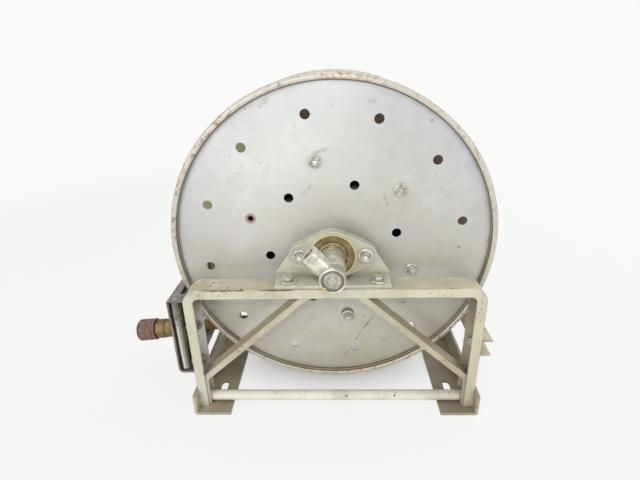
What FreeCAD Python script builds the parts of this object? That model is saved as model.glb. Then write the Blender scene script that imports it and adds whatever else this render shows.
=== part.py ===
import FreeCAD, Part
import math
import os
import re

import Sketcher

# A fire hose reel on a floor frame. Millimetres, +Z up, +X to the right seen from the front, which
# faces -Y. The origin is on the floor at the centre of the frame's footprint.

os.makedirs("parts", exist_ok=True)
V = FreeCAD.Vector
doc = FreeCAD.newDocument("FireHoseReel")
sheet = doc.addObject("Spreadsheet::Sheet", "Sizes")

DRIVING_SIZES = [
    # end frames: bar channel 1 1/2 x 9/16 in, 18 in wide and 9 in high
    ("frame_depth", 264.0),
    ("axle_height", 273.0),
    ("channel_depth", 38.1),
    ("channel_flange", 15.0),
    ("channel_wall", 3.2),
    ("channel_bend", 25.0),
    # braces: lighter channel nested in the end frames
    ("brace_depth", 25.4),
    ("brace_flange", 10.0),
    ("brace_inset", 9.1),
    ("brace_flat", 72.4),
    ("knee_drop", 20.0),
    ("brace_bend", 22.0),
    ("tube_dia", 17.1),
    ("tube_wall", 2.0),
    ("tube_height", 14.5),
    # base angles with two slots each
    ("base_wall", 4.8),
    ("base_foot", 55.1),
    ("base_lip", 39.0),
    ("base_overhang", 15.0),
    ("slot_width", 12.7),
    ("slot_length", 25.4),
    ("slot_inset", 30.6),
    ("slot_spacing", 168.0),
    # spacer channel on the right legs
    ("spacer_depth", 20.4),
    ("spacer_height", 30.0),
    ("spacer_wall", 3.0),
    ("spacer_level", 115.0),
    ("spacer_clear", 9.0),
    ("spacer_bend", 3.0),
    # fasteners
    ("large_bolt", 9.5),
    ("large_flats", 14.3),
    ("small_bolt", 7.9),
    ("small_flats", 12.7),
    ("washer_wall", 1.6),
    ("bolt_clear", 0.4),
    # bearing brackets on the rails
    ("bracket_width", 173.2),
    ("bracket_wall", 4.8),
    ("bracket_front", 3.0),
    ("bracket_shoulder", 62.0),
    ("bracket_top", 32.0),
    ("bracket_bore", 25.0),
    ("bracket_bolt_span", 136.0),
    ("bracket_bolt_shift", 1.9),
    ("bracket_corner", 10.0),
    ("flange_clear", 1.1),
    ("hub_clear", 4.6),
    # flange bearing
    ("flange_wall", 17.2),
    ("flange_round", 38.5),
    ("flange_ear", 17.5),
    ("flange_bolt_span", 97.0),
    ("lip_radius", 36.0),
    ("lip_height", 2.0),
    ("shaft_dia", 31.75),
    ("shaft_bore", 20.0),
    ("inner_ring_radius", 20.6),
    ("race_radius", 27.5),
    ("outer_ring_radius", 33.0),
    ("race_width", 15.0),
    ("seal_radius", 23.0),
    ("seal_wall", 1.6),
    ("running_fit", 0.05),
    ("part_clear", 0.3),
    ("edge_break", 0.6),
    # reel
    ("disc_radius", 254.0),
    ("disc_overhang", 25.4),
    ("disc_wall", 2.0),
    ("disc_gap", 127.2),
    ("bead_dia", 10.7),
    ("hole_phase", 10.32),
    ("outer_circle", 202.3),
    ("inner_circle", 101.2),
    ("tie_clear", 0.45),
    ("plain_hole", 14.6),
    ("drum_radius", 140.5),
    ("drum_wall", 2.0),
    ("hub_radius", 60.0),
    ("hub_wall", 6.0),
    ("hub_reach", 50.0),
    ("collar_radius", 24.0),
    ("collar_width", 12.0),
    ("collar_clear", 10.0),
    # swivel inlet
    ("barrel_flats", 30.0),
    ("barrel_hex", 11.0),
    ("spindle_radius", 11.0),
    ("swivel_radius", 18.3),
    ("swivel_length", 65.0),
    ("swivel_wall", 7.0),
    ("inlet_dia", 27.5),
    ("inlet_bore", 18.6),
    ("inlet_reach", 46.0),
    ("inlet_depth", 16.0),
    ("inlet_passage", 14.0),
    ("inlet_set_back", 17.0),
    ("plug_radius", 12.0),
    # outlet pipe inside the drum
    ("outlet_dia", 17.0),
    ("outlet_bore", 11.0),
    ("outlet_angle", 190.3),
    ("outlet_step", 12.8),
    ("outlet_plane", 28.0),
    ("outlet_bend", 13.0),
    ("nipple_bend", 10.0),
    # hose
    ("hose_dia", 20.0),
    ("wind_clear", 0.5),
    ("wind_margin", 2.6),
    ("wind_gap", 1.9),
    ("wind_end_plane", 32.0),
    ("wind_ease", 0.04),
    ("lead_slope", 5.1),
    # spring motor on the rear disc
    ("case_step", 9.2),
    ("case_rim", 8.8),
    ("case_width", 55.6),
    ("spring_turns", 9.0),
    ("spring_wall", 1.2),
    ("spring_play", 1.5),
    ("spring_width", 44.0),
    ("arbor_tail", 14.0),
    ("arbor_nut_flats", 46.0),
    ("case_bend", 2.5),
    ("rear_hub_radius", 39.0),
    ("rear_hub_wall", 4.0),
    # roller guide on the left legs
    ("guide_out", 31.4),
    ("guide_wall", 3.0),
    ("guide_fold", 8.0),
    ("guide_height", 139.0),
    ("guide_margin", 19.0),
    ("guide_tray", 14.0),
    ("guide_ear", 22.0),
    ("guide_lip", 20.0),
    ("guide_set_back", 14.0),
    ("window_margin", 4.0),
    ("cheek_inset", 18.0),
    ("cheek_wall", 2.4),
    ("cheek_width", 17.0),
    ("roller_dia", 12.0),
    ("up_roller_dia", 14.0),
    ("up_roller_inset", 7.5),
    ("roller_bore", 5.2),
    ("roller_clear", 1.5),
    ("roller_over", 2.0),
    ("bolt_rise_high", 86.0),
    ("bolt_rise_low", 18.0),
    ("leg_bolt_inset", 26.0),
    # hose end
    ("ferrule_dia", 26.0),
    ("ferrule_length", 28.0),
    ("hex_inner_flats", 28.5),
    ("hex_inner_length", 18.0),
    ("hex_outer_flats", 30.0),
    ("hex_outer_length", 17.0),
    ("lead_clear", 2.0),
    ("coupling_dia", 39.0),
    ("coupling_length", 33.0),
    ("coupling_bore", 30.0),
    ("coupling_shoulder", 4.0),
]
# What seats on, clears or follows another piece is worked out here from the sizes above.
DERIVED_SIZES = [
    ("frame_width", "2 * (disc_radius - disc_overhang)"),
    ("rail_height", "axle_height - flange_round - flange_clear - bracket_wall"),
    ("bracket_back", "(frame_depth - disc_gap) / 2 - disc_wall - race_width - 2 * seal_wall - hub_clear"),
    ("bracket_bolt_inset", "(bracket_front + bracket_back - bracket_wall) / 2 - bracket_bolt_shift"),
    ("tie_circle", "drum_radius - drum_wall - small_bolt / 2 - tie_clear"),
    ("outlet_radius", "inner_circle + outlet_step"),
    ("wind_radius", "drum_radius + hose_dia / 2 + wind_clear"),
    ("wind_start_plane", "disc_gap / 2 - hose_dia / 2 - wind_margin"),
    ("guide_face", "frame_width / 2 + guide_out"),
    ("lead_end", "guide_face + lead_clear"),
    ("roller_line", "guide_face - guide_wall - roller_clear - up_roller_dia / 2"),
    ("roller_reach", "wind_radius + hose_dia / 2 + roller_dia / 2 + part_clear"),
    ("roller_low", "axle_height - roller_reach / cos(lead_slope) - roller_line * tan(lead_slope)"),
    ("guide_floor", "roller_low - guide_margin"),
    ("guide_top", "guide_floor + guide_height"),
    ("window_top", "guide_top - guide_margin"),
    ("guide_bolt_high", "guide_floor + bolt_rise_high"),
    ("guide_bolt_low", "guide_floor + bolt_rise_low"),
    ("brace_knee", "guide_bolt_low - knee_drop"),
    ("case_radius", "inner_circle - case_step"),
    ("case_flange", "inner_circle + case_rim"),
    ("guide_half", "frame_depth / 2 - guide_set_back"),
    ("cheek_face", "guide_half - cheek_inset"),
    ("up_roller_plane", "guide_half - up_roller_inset"),
]
cells = DRIVING_SIZES + [(alias, "=" + formula) for alias, formula in DERIVED_SIZES]
for row, (alias, content) in enumerate(cells, start=1):
    sheet.set("A%d" % row, alias)
    sheet.set("B%d" % row, str(content))
    sheet.setAlias("B%d" % row, alias)
doc.recompute()


def bind(text):
    """An expression with the sheet's name put before each alias (every alias has an underscore)."""
    return re.sub(r"\b([a-z]+(?:_[a-z]+)+)\b", r"Sizes.\1", str(text))


def value(text):
    """What an expression in the sheet's aliases comes to, in millimetres or degrees."""
    result = sheet.evalExpression(bind(text))
    return float(getattr(result, "Value", result))


SUB_PARTS = []
HALF = "frame_width / 2"
FRONT = "-frame_depth / 2"
REAR = "frame_depth / 2"
NORMAL = {"XY_Plane": 1, "XZ_Plane": -1, "YZ_Plane": 1}


def place(thing, base=("0", "0", "0"), axis=(0, 0, 1), angle="0"):
    """Bind an object's place: a base point and one turn about an axis."""
    turn = FreeCAD.Rotation(V(*axis), value(angle))
    thing.Placement = FreeCAD.Placement(V(*[value(part) for part in base]), turn)
    for name, part in zip("xyz", base):
        thing.setExpression("Placement.Base." + name, bind(part))
    if re.search("[a-z]", angle):
        thing.setExpression("Placement.Rotation.Angle", bind(angle))
    return thing


def finish(thing, label):
    """Give a sub-part the label that names its node."""
    thing.Label = label
    SUB_PARTS.append(thing)
    return thing


def new_body(label, base=("0", "0", "0"), axis=(0, 0, 1), angle="0"):
    body = doc.addObject("PartDesign::Body", label)
    finish(body, label)
    return place(body, base, axis, angle)


def end_body(label, end):
    """A body drawn in an end's own frame: y runs inward from the end frame's outer face."""
    if end > 0:
        return new_body(label, ("0", FRONT, "0"))
    return new_body(label, ("0", REAR, "0"), (0, 0, 1), "180")


def new_sketch(body, plane, lift="0"):
    """A sketch on one of the body's origin planes, lifted along +Z, +Y or +X."""
    made = body.newObject("Sketcher::SketchObject", "Sketch")
    origin = [item for item in body.Origin.OriginFeatures if item.Role == plane][0]
    made.AttachmentSupport = [(origin, "")]
    made.MapMode = "FlatFace"
    sign = "-" if NORMAL[plane] < 0 else ""
    made.setExpression("AttachmentOffset.Base.z", bind("%s(%s)" % (sign, lift)))
    return made


def outline(sketch, corners):
    """A closed outline through corners (x, y, radius), each an expression; radius 0 is sharp."""
    points = [V(value(x), value(y), 0) for x, y, radius in corners]
    count = len(points)
    starts = [None] * count
    ends = [None] * count
    arcs = {}
    for index, corner in enumerate(corners):
        point = points[index]
        back = (points[index - 1] - point).normalize()
        ahead = (points[(index + 1) % count] - point).normalize()
        ends[index - 1] = point
        starts[index] = point
        if corner[2] != "0":
            radius = value(corner[2])
            half_angle = math.acos(back.dot(ahead)) / 2
            reach = radius / math.tan(half_angle)
            middle = (back + ahead).normalize()
            centre = point + middle * (radius / math.sin(half_angle))
            ends[index - 1] = point + back * reach
            starts[index] = point + ahead * reach
            arcs[index] = (ends[index - 1], centre - middle * radius, starts[index])
    first = sketch.GeometryCount
    for index in range(count):
        sketch.addGeometry(Part.LineSegment(starts[index], ends[index]), False)
    for index, corner in enumerate(corners):
        before = first + (index - 1) % count
        after = first + index
        if index in arcs:
            begin, top, end = arcs[index]
            if (top - begin).cross(end - top).z < 0:
                begin, end = end, begin
            arc = sketch.addGeometry(Part.Arc(begin, top, end), False)
            anchor = sketch.addGeometry(Part.Point(points[index]), True)
            near = 1 if (sketch.Geometry[arc].StartPoint - arcs[index][0]).Length < 1e-6 else 2
            sketch.addConstraint(Sketcher.Constraint("Tangent", before, 2, arc, near))
            sketch.addConstraint(Sketcher.Constraint("Tangent", arc, 3 - near, after, 1))
            sketch.addConstraint(Sketcher.Constraint("PointOnObject", anchor, 1, before))
            sketch.addConstraint(Sketcher.Constraint("PointOnObject", anchor, 1, after))
            held = sketch.addConstraint(Sketcher.Constraint("Radius", arc, value(corner[2])))
            sketch.setExpression("Constraints[%d]" % held, bind(corner[2]))
        else:
            anchor = after
            sketch.addConstraint(Sketcher.Constraint("Coincident", before, 2, after, 1))
        hold_point(sketch, anchor, 1, points[index], corner[0], corner[1])


def hold_point(sketch, element, end, point, x_text, y_text):
    """Dimension a sketch point from the origin along both axes."""
    for kind, number, text in (("DistanceX", point.x, x_text), ("DistanceY", point.y, y_text)):
        held = sketch.addConstraint(Sketcher.Constraint(kind, element, end, number))
        sketch.setExpression("Constraints[%d]" % held, bind(text))


def circle(sketch, x_text, y_text, radius_text):
    centre = V(value(x_text), value(y_text), 0)
    ring = sketch.addGeometry(Part.Circle(centre, V(0, 0, 1), value(radius_text)), False)
    held = sketch.addConstraint(Sketcher.Constraint("Radius", ring, value(radius_text)))
    sketch.setExpression("Constraints[%d]" % held, bind(radius_text))
    hold_point(sketch, ring, 3, centre, x_text, y_text)


def slot(sketch, x_text, y_text, length_text, width_text):
    """A slot with round ends, its length along the sketch's y."""
    half_run = "((%s) - (%s)) / 2" % (length_text, width_text)
    radius = "(%s) / 2" % width_text
    low = "(%s) - %s" % (y_text, half_run)
    high = "(%s) + %s" % (y_text, half_run)
    left = "(%s) - %s" % (x_text, radius)
    right = "(%s) + %s" % (x_text, radius)
    bottom = V(value(x_text), value(low), 0)
    top = V(value(x_text), value(high), 0)
    reach = value(radius)
    upper = sketch.addGeometry(Part.Arc(top + V(reach, 0, 0), top + V(0, reach, 0), top - V(reach, 0, 0)), False)
    lower = sketch.addGeometry(Part.Arc(bottom - V(reach, 0, 0), bottom - V(0, reach, 0), bottom + V(reach, 0, 0)),
                               False)
    side_left = sketch.addGeometry(Part.LineSegment(top - V(reach, 0, 0), bottom - V(reach, 0, 0)), False)
    side_right = sketch.addGeometry(Part.LineSegment(bottom + V(reach, 0, 0), top + V(reach, 0, 0)), False)
    for line_end, arc_end in (((side_left, 1), (upper, 2)), ((side_left, 2), (lower, 1)),
                              ((side_right, 1), (lower, 2)), ((side_right, 2), (upper, 1))):
        sketch.addConstraint(Sketcher.Constraint("Coincident", *line_end, *arc_end))
    hold_point(sketch, upper, 3, top, x_text, high)
    hold_point(sketch, lower, 3, bottom, x_text, low)
    hold_point(sketch, side_left, 1, top - V(reach, 0, 0), left, high)
    hold_point(sketch, side_right, 1, bottom + V(reach, 0, 0), right, low)


def pad(body, sketch, length_text, toward=1):
    """Pad a sketch along +X, +Y or +Z, or the other way."""
    made = body.newObject("PartDesign::Pad", "Pad")
    made.Profile = sketch
    made.setExpression("Length", bind(length_text))
    made.Reversed = toward * NORMAL[sketch_plane(sketch)] < 0
    doc.recompute()
    return made


def sketch_plane(sketch):
    return sketch.AttachmentSupport[0][0].Role


def pocket(body, sketch, length_text, toward=1):
    """Pocket a sketch along +X, +Y or +Z, or the other way, and see that it cuts."""
    before = body.Shape.Volume
    made = body.newObject("PartDesign::Pocket", "Pocket")
    made.Profile = sketch
    made.setExpression("Length", bind(length_text))
    made.Reversed = toward * NORMAL[sketch_plane(sketch)] > 0
    doc.recompute()
    if body.Shape.Volume >= before - 1e-3:
        raise RuntimeError("a pocket of %s cuts nothing" % body.Label)
    return made


def revolve(body, corners, groove=False):
    """Turn an outline (radius, y, chamfer) about the body's own Y axis."""
    profile = new_sketch(body, "XY_Plane")
    outline(profile, chamfered(corners))
    return turn_profile(body, profile, groove)


def chamfered(corners):
    """Give each corner the chamfer that its third value asks for; its sides run along x or y."""
    points = [V(value(x), value(y), 0) for x, y, leg in corners]
    made = []
    for index, (x, y, leg) in enumerate(corners):
        if leg == "0":
            made.append((x, y, "0"))
            continue
        for neighbour in (points[index - 1], points[(index + 1) % len(points)]):
            toward = (neighbour - points[index]).normalize()
            x_text = "%s + %d * (%s)" % (x, round(toward.x), leg)
            y_text = "%s + %d * (%s)" % (y, round(toward.y), leg)
            made.append((x_text, y_text, "0"))
    return made


def turn_profile(body, profile, groove=False):
    before = body.Shape.Volume if groove else 0
    made = body.newObject("PartDesign::Groove" if groove else "PartDesign::Revolution", "Turn")
    made.Profile = profile
    made.ReferenceAxis = (profile, ["V_Axis"])
    made.Angle = 360
    doc.recompute()
    if groove and body.Shape.Volume >= before - 1e-3:
        raise RuntimeError("a groove of %s cuts nothing" % body.Label)
    return made


def around(body, feature, count):
    """Repeat a feature about the body's Y axis."""
    made = body.newObject("PartDesign::PolarPattern", "Around")
    made.Originals = [feature]
    axis = [item for item in body.Origin.OriginFeatures if item.Role == "Y_Axis"][0]
    made.Axis = (axis, [""])
    made.Angle = 360
    made.Occurrences = count
    body.Tip = made
    doc.recompute()
    return made


def box_corners(left, low, right, high, radius="0"):
    return [(left, low, radius), (right, low, radius), (right, high, radius), (left, high, radius)]


def hexagon_corners(across):
    """The six corners of a hexagon with a given width across its flats."""
    corner = "(%s) / sqrt(3)" % across
    turns = [360 * side // 6 for side in range(6)]
    return [("%s * cos(%d)" % (corner, turn), "%s * sin(%d)" % (corner, turn), "0") for turn in turns]


def hex_bolt(size, grip, head_washer=True):
    """One hex bolt with its washers and nut, along Z: the head's seat is z = 0, grip is clamped."""
    dia = "%s_bolt" % size
    across = "%s_flats / sqrt(3)" % size
    head_seat = "washer_wall" if head_washer else "0"
    nut_seat = "-(%s) - washer_wall" % grip
    nut_height = "%s * 0.85" % dia
    pieces = []
    rounds = [(dia + " / 2", "(%s) + 2 * washer_wall + %s * 1.15" % (grip, dia), "%s - %s * 1.15" % (nut_seat, dia)),
              (dia + " * 1.05", "washer_wall", nut_seat)]
    if head_washer:
        rounds.append((dia + " * 1.05", "washer_wall", "0"))
    for radius, height, base in rounds:
        rod = doc.addObject("Part::Cylinder", "Rod")
        rod.setExpression("Radius", bind(radius))
        rod.setExpression("Height", bind(height))
        pieces.append(place(rod, ("0", "0", base)))
    for height, base in ((dia + " * 0.65", head_seat), (nut_height, "%s - %s" % (nut_seat, nut_height))):
        prism = doc.addObject("Part::Prism", "Hexagon")
        prism.Polygon = 6
        prism.setExpression("Circumradius", bind(across))
        prism.setExpression("Height", bind(height))
        pieces.append(place(prism, ("0", "0", base)))
    made = doc.addObject("Part::MultiFuse", "Bolt")
    made.Shapes = pieces
    made.Refine = True
    return made


def group(label, solids):
    made = doc.addObject("Part::Compound", label)
    made.Links = solids
    return finish(made, label)


def end_frame(label, end):
    """Inverted U of channel, open inward. Its bolt holes follow the pieces bolted to it."""
    body = end_body(label, end)
    inner = "channel_bend - channel_wall"
    low = "base_wall"
    band = new_sketch(body, "XZ_Plane")
    edge = HALF + " - channel_flange"
    outline(band, [("-" + HALF, low, "0"), ("-" + HALF, "rail_height", "channel_bend"),
                   (HALF, "rail_height", "channel_bend"), (HALF, low, "0"), (edge, low, "0"),
                   (edge, "rail_height - channel_flange", "channel_bend - channel_flange"),
                   ("-(%s)" % edge, "rail_height - channel_flange", "channel_bend - channel_flange"),
                   ("-(%s)" % edge, low, "0")])
    pad(body, band, "channel_depth")
    hollow = new_sketch(body, "XZ_Plane", "channel_wall")
    face = HALF + " - channel_wall"
    outline(hollow, [("-(%s)" % face, "0", "0"), ("-(%s)" % face, "rail_height - channel_wall", inner),
                     (face, "rail_height - channel_wall", inner), (face, "0", "0")])
    pocket(body, hollow, "channel_depth - 2 * channel_wall")
    top = new_sketch(body, "XY_Plane", "rail_height")
    for side in ("-", ""):
        circle(top, side + "bracket_bolt_span / 2", "bracket_bolt_inset", "large_bolt / 2 + bolt_clear")
    pocket(body, top, "channel_wall * 2", -1)
    left = new_sketch(body, "YZ_Plane", "%d * (%s)" % (-end, HALF))
    for level in ("guide_bolt_high", "guide_bolt_low"):
        circle(left, "leg_bolt_inset", level, "small_bolt / 2 + bolt_clear")
    pocket(body, left, "channel_wall * 2", end)
    right = new_sketch(body, "YZ_Plane", "%d * (%s)" % (end, HALF))
    circle(right, "leg_bolt_inset", "spacer_level", "small_bolt / 2 + bolt_clear")
    pocket(body, right, "channel_wall * 2", -end)
    return body


BRACE_TURN = ("atan((%s - brace_inset - brace_flat / 2) / (rail_height - channel_wall - brace_knee))"
              % HALF)


def brace_line(offset, radius, low):
    """The brace's outline at a depth below its outer face, from the left foot round to the right."""
    knee_x = "(%s - brace_inset - (%s))" % (HALF, offset)
    knee_z = "(brace_knee - (%s) * tan(%s / 2))" % (offset, BRACE_TURN)
    flat_x = "(brace_flat / 2 - (%s) * tan((90 deg - %s) / 2))" % (offset, BRACE_TURN)
    flat_z = "(rail_height - channel_wall - (%s))" % offset
    return [("-" + knee_x, low, "0"), ("-" + knee_x, knee_z, radius), ("-" + flat_x, flat_z, radius),
            (flat_x, flat_z, radius), (knee_x, knee_z, radius), (knee_x, low, "0")]


def brace(label, end):
    """One bent channel: up from the foot, across to the middle of the rail and down again."""
    body = end_body(label, end)
    band = new_sketch(body, "XZ_Plane", "channel_wall")
    outer = brace_line("0", "brace_bend", "base_wall")
    inner = brace_line("brace_flange", "brace_bend - brace_flange", "base_wall")
    outline(band, outer + inner[::-1])
    pad(body, band, "brace_depth")
    hollow = new_sketch(body, "XZ_Plane", "channel_wall * 2")
    outline(hollow, brace_line("channel_wall", "brace_bend - channel_wall", "0"))
    pocket(body, hollow, "brace_depth - 2 * channel_wall")
    return body


def cross_tube(label, end):
    """Round tube between the webs of a brace's two legs."""
    reach = "(%s - brace_inset - channel_wall)" % HALF
    body = end_body(label, end)
    ring = new_sketch(body, "YZ_Plane", "-" + reach)
    for radius in ("tube_dia / 2", "tube_dia / 2 - tube_wall"):
        circle(ring, "channel_wall + brace_depth / 2", "tube_height", radius)
    pad(body, ring, "2 * " + reach)
    return body


def base_angle(label, side):
    """Angle iron under the feet, drawn for the right side, with a slot near each end."""
    body = new_body(label, ("0", "0", "0"), (0, 0, 1), "0" if side > 0 else "180")
    profile = new_sketch(body, "XZ_Plane", "-frame_depth / 2 - base_overhang")
    inner = HALF + " - base_foot"
    outer = HALF + " + base_wall"
    outline(profile, [(inner, "0", "0"), (outer, "0", "base_wall"), (outer, "base_lip", "0"),
                      (HALF, "base_lip", "0"), (HALF, "base_wall", "0"), (inner, "base_wall", "0")])
    pad(body, profile, "frame_depth + 2 * base_overhang")
    cuts = new_sketch(body, "XY_Plane", "base_wall")
    for sign in ("-", ""):
        slot(cuts, HALF + " - slot_inset", sign + "slot_spacing / 2", "slot_length", "slot_width")
    pocket(body, cuts, "base_wall * 2", -1)
    return body


def spacer_channel():
    """Channel, open outward, between the front and rear legs on the right."""
    body = new_body("spacer_channel")
    profile = new_sketch(body, "XZ_Plane", FRONT + " + spacer_clear")
    low = "spacer_level - spacer_height / 2"
    high = "spacer_level + spacer_height / 2"
    outer = HALF + " + spacer_depth"
    web = HALF + " + spacer_wall"
    outline(profile, [(HALF, low, "spacer_bend"), (outer, low, "0"), (outer, low + " + spacer_wall", "0"),
                      (web, low + " + spacer_wall", "0"), (web, high + " - spacer_wall", "0"),
                      (outer, high + " - spacer_wall", "0"), (outer, high, "0"), (HALF, high, "spacer_bend")])
    pad(body, profile, "frame_depth - 2 * spacer_clear")
    holes = new_sketch(body, "YZ_Plane", HALF + " + spacer_depth")
    for sign in ("-", ""):
        circle(holes, sign + "(frame_depth / 2 - leg_bolt_inset)", "spacer_level", "small_bolt / 2 + bolt_clear")
    pocket(body, holes, "spacer_depth * 1.5", -1)
    return body


def spacer_bolts():
    bolts = []
    for sign in ("-", ""):
        made = hex_bolt("small", "channel_wall + spacer_wall")
        y_text = sign + "(frame_depth / 2 - leg_bolt_inset)"
        bolts.append(place(made, (HALF + " + spacer_wall", y_text, "spacer_level"), (0, 1, 0), "90"))
    return group("spacer_bolts", bolts)


def bearing_bracket(label, end):
    """Plate bent to an L: the foot lies on the rail, the upright carries the flange."""
    body = end_body(label, end)
    half = "bracket_width / 2"
    profile = new_sketch(body, "YZ_Plane", "-" + half)
    foot_top = "rail_height + bracket_wall"
    high = "axle_height + bracket_top"
    outline(profile, [("bracket_front", "rail_height", "0"), ("bracket_back", "rail_height", "bracket_wall * 1.2"),
                      ("bracket_back", high, "0"), ("bracket_back - bracket_wall", high, "0"),
                      ("bracket_back - bracket_wall", foot_top, "bracket_wall * 0.2"),
                      ("bracket_front", foot_top, "0")])
    pad(body, profile, "bracket_width")
    trim = new_sketch(body, "XZ_Plane", "bracket_back - bracket_wall * 1.5")
    for side, order in (("", 1), ("-", -1)):
        corners = [(side + "flange_round / 2", high, "0"),
                   (side + "bracket_shoulder", "axle_height + bracket_front", "bracket_corner"),
                   (side + half, foot_top + " + bracket_wall * 1.5", "0"),
                   (side + "(%s + 2)" % half, foot_top + " + bracket_wall * 1.5", "0"),
                   (side + "(%s + 2)" % half, high + " + 2", "0"), (side + "flange_round / 2", high + " + 2", "0")]
        outline(trim, corners[::order])
    pocket(body, trim, "bracket_wall * 2")
    bores = new_sketch(body, "XZ_Plane", "bracket_back - bracket_wall * 1.5")
    circle(bores, "0", "axle_height", "bracket_bore")
    for side in ("-", ""):
        circle(bores, side + "flange_bolt_span / 2", "axle_height", "large_bolt / 2 + bolt_clear")
    pocket(body, bores, "bracket_wall * 2")
    feet = new_sketch(body, "XY_Plane", foot_top)
    for side in ("-", ""):
        circle(feet, side + "bracket_bolt_span / 2", "bracket_bolt_inset", "large_bolt / 2 + bolt_clear")
    pocket(body, feet, "bracket_wall * 2", -1)
    return body


def bracket_bolts():
    bolts = []
    for end in (1, -1):
        for side in (1, -1):
            made = hex_bolt("large", "bracket_wall + channel_wall")
            base = ("%d * bracket_bolt_span / 2" % side, "%d * (frame_depth / 2 - bracket_bolt_inset)" % -end,
                    "rail_height + bracket_wall")
            bolts.append(place(made, base))
    return group("bracket_bolts", bolts)


FLANGE_FACE = "(bracket_back - bracket_wall - flange_wall)"
FLANGE_TILT = "acos((flange_round - flange_ear) / (flange_bolt_span / 2))"


def diamond_flange(label, end, bore):
    """Two-bolt flange: a round middle that runs out to an ear at each side."""
    body = end_body(label, end)
    side_x = "flange_round / cos(%s)" % FLANGE_TILT
    top_z = "flange_round / sin(%s)" % FLANGE_TILT
    plate = new_sketch(body, "XZ_Plane", FLANGE_FACE)
    outline(plate, [("-" + side_x, "axle_height", "flange_ear"), ("0", "axle_height + " + top_z, "flange_round"),
                    (side_x, "axle_height", "flange_ear"), ("0", "axle_height - " + top_z, "flange_round")])
    pad(body, plate, "flange_wall")
    lip = new_sketch(body, "XZ_Plane", FLANGE_FACE)
    circle(lip, "0", "axle_height", "lip_radius")
    pad(body, lip, "lip_height", -1)
    holes = new_sketch(body, "XZ_Plane", FLANGE_FACE + " - lip_height")
    circle(holes, "0", "axle_height", bore)
    for side in ("-", ""):
        circle(holes, side + "flange_bolt_span / 2", "axle_height", "large_bolt / 2 + bolt_clear")
    pocket(body, holes, "flange_wall * 2")
    return body


def flange_bolts(label, end):
    bolts = []
    for side in (1, -1):
        made = hex_bolt("large", "flange_wall + bracket_wall")
        y_text = "%d * (frame_depth / 2 - %s)" % (-end, FLANGE_FACE)
        bolts.append(place(made, ("%d * flange_bolt_span / 2" % side, y_text, "axle_height"), (1, 0, 0),
                           "90" if end > 0 else "-90"))
    return group(label, bolts)


RACE_MIDDLE = "(%s + flange_wall / 2)" % FLANGE_FACE
REAR_HUB_MIDDLE = "(frame_depth / 2 - disc_gap / 2 - disc_wall - race_width / 2 - seal_wall)"


def axle_body(label, end, middle="0"):
    """A turned body on the axle line, y from the middle given in that end's frame, toward the reel."""
    if end > 0:
        return new_body(label, ("0", "-frame_depth / 2 + " + middle, "axle_height"))
    return new_body(label, ("0", "frame_depth / 2 - " + middle, "axle_height"), (0, 0, 1), "180")


def outer_ring(label, end, middle):
    body = axle_body(label, end, middle)
    half = "race_width / 2"
    revolve(body, [("race_radius", "-" + half, "0"), ("outer_ring_radius", "-" + half, "edge_break"),
                   ("outer_ring_radius", half, "edge_break"), ("race_radius", half, "0")])
    return body


def inner_ring(label, end, middle):
    body = axle_body(label, end, middle)
    half = "race_width / 2"
    revolve(body, [("shaft_dia / 2", "-" + half, "0"), ("inner_ring_radius", "-" + half, "edge_break"),
                   ("inner_ring_radius", half, "edge_break"), ("shaft_dia / 2", half, "0")])
    return body


def bearing_seals(label, end, middle):
    """The two seal washers that close the bearing's sides; they stop short of the inner ring."""
    seals = []
    for face in (1, -1):
        made = doc.addObject("Part::Feature", "Seal")
        outer = Part.makeCylinder(value("race_radius"), value("seal_wall"))
        made.Shape = outer.cut(Part.makeCylinder(value("seal_radius"), value("seal_wall")))
        offset = "%s - race_width / 2" % middle if face > 0 else "%s + race_width / 2 - seal_wall" % middle
        seals.append(place(made, ("0", "%d * (frame_depth / 2 - (%s + seal_wall * %d))" % (-end, offset, (1 - end) / 2),
                                  "axle_height"), (1, 0, 0), "-90"))
    return group(label, seals)


def race_balls(label, end, middle, count=9):
    """Balls between the rings, each with a little play."""
    pitch = (value("inner_ring_radius") + value("race_radius")) / 2
    radius = (value("race_radius") - value("inner_ring_radius")) / 2 - value("running_fit")
    y_middle = value("%d * (frame_depth / 2 - %s)" % (-end, middle))
    balls = []
    for index in range(count):
        angle = 2 * math.pi * (index + 0.5) / count
        centre = V(pitch * math.cos(angle), y_middle, value("axle_height") + pitch * math.sin(angle))
        balls.append(Part.makeSphere(radius, centre))
    made = doc.addObject("Part::Feature", label)
    made.Shape = Part.makeCompound(balls)
    return finish(made, label)


def side_disc(label, end):
    """Pressed disc with a rolled bead, curled outward, and circles of holes."""
    body = new_body(label, ("0", "%d * disc_gap / 2" % -end, "axle_height"))
    spin = FreeCAD.Rotation(V(0, 1, 0), -value("hole_phase"))
    over = FreeCAD.Rotation(V(1, 0, 0), 0 if end > 0 else 180)
    body.Placement = FreeCAD.Placement(body.Placement.Base, spin.multiply(over))
    bore = "shaft_dia / 2 + part_clear" if end > 0 else "inner_ring_radius + part_clear"
    rim = "disc_radius - bead_dia / 2"
    bead = "bead_dia / 2"
    profile = new_sketch(body, "XY_Plane")
    outline(profile, [(bore, "-disc_wall", "0"), (rim, "-disc_wall", "0"), (rim, "0", "0"), (bore, "0", "0")])
    turn_profile(body, profile)
    ring = new_sketch(body, "XY_Plane")
    circle(ring, rim, "-" + bead, bead)
    turn_profile(body, ring)
    for radius, count, size, start in (("outer_circle", 12, "plain_hole / 2", 0),
                                       ("inner_circle", 6, "plain_hole / 2", 0),
                                       ("tie_circle", 6, "small_bolt / 2 + bolt_clear", 30)):
        hole = new_sketch(body, "XZ_Plane", "-disc_wall - 1")
        circle(hole, "%s * cos(%d)" % (radius, start), "%s * sin(%d)" % (radius, start), size)
        around(body, pocket(body, hole, "disc_wall + 2"), count)
    return body


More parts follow.
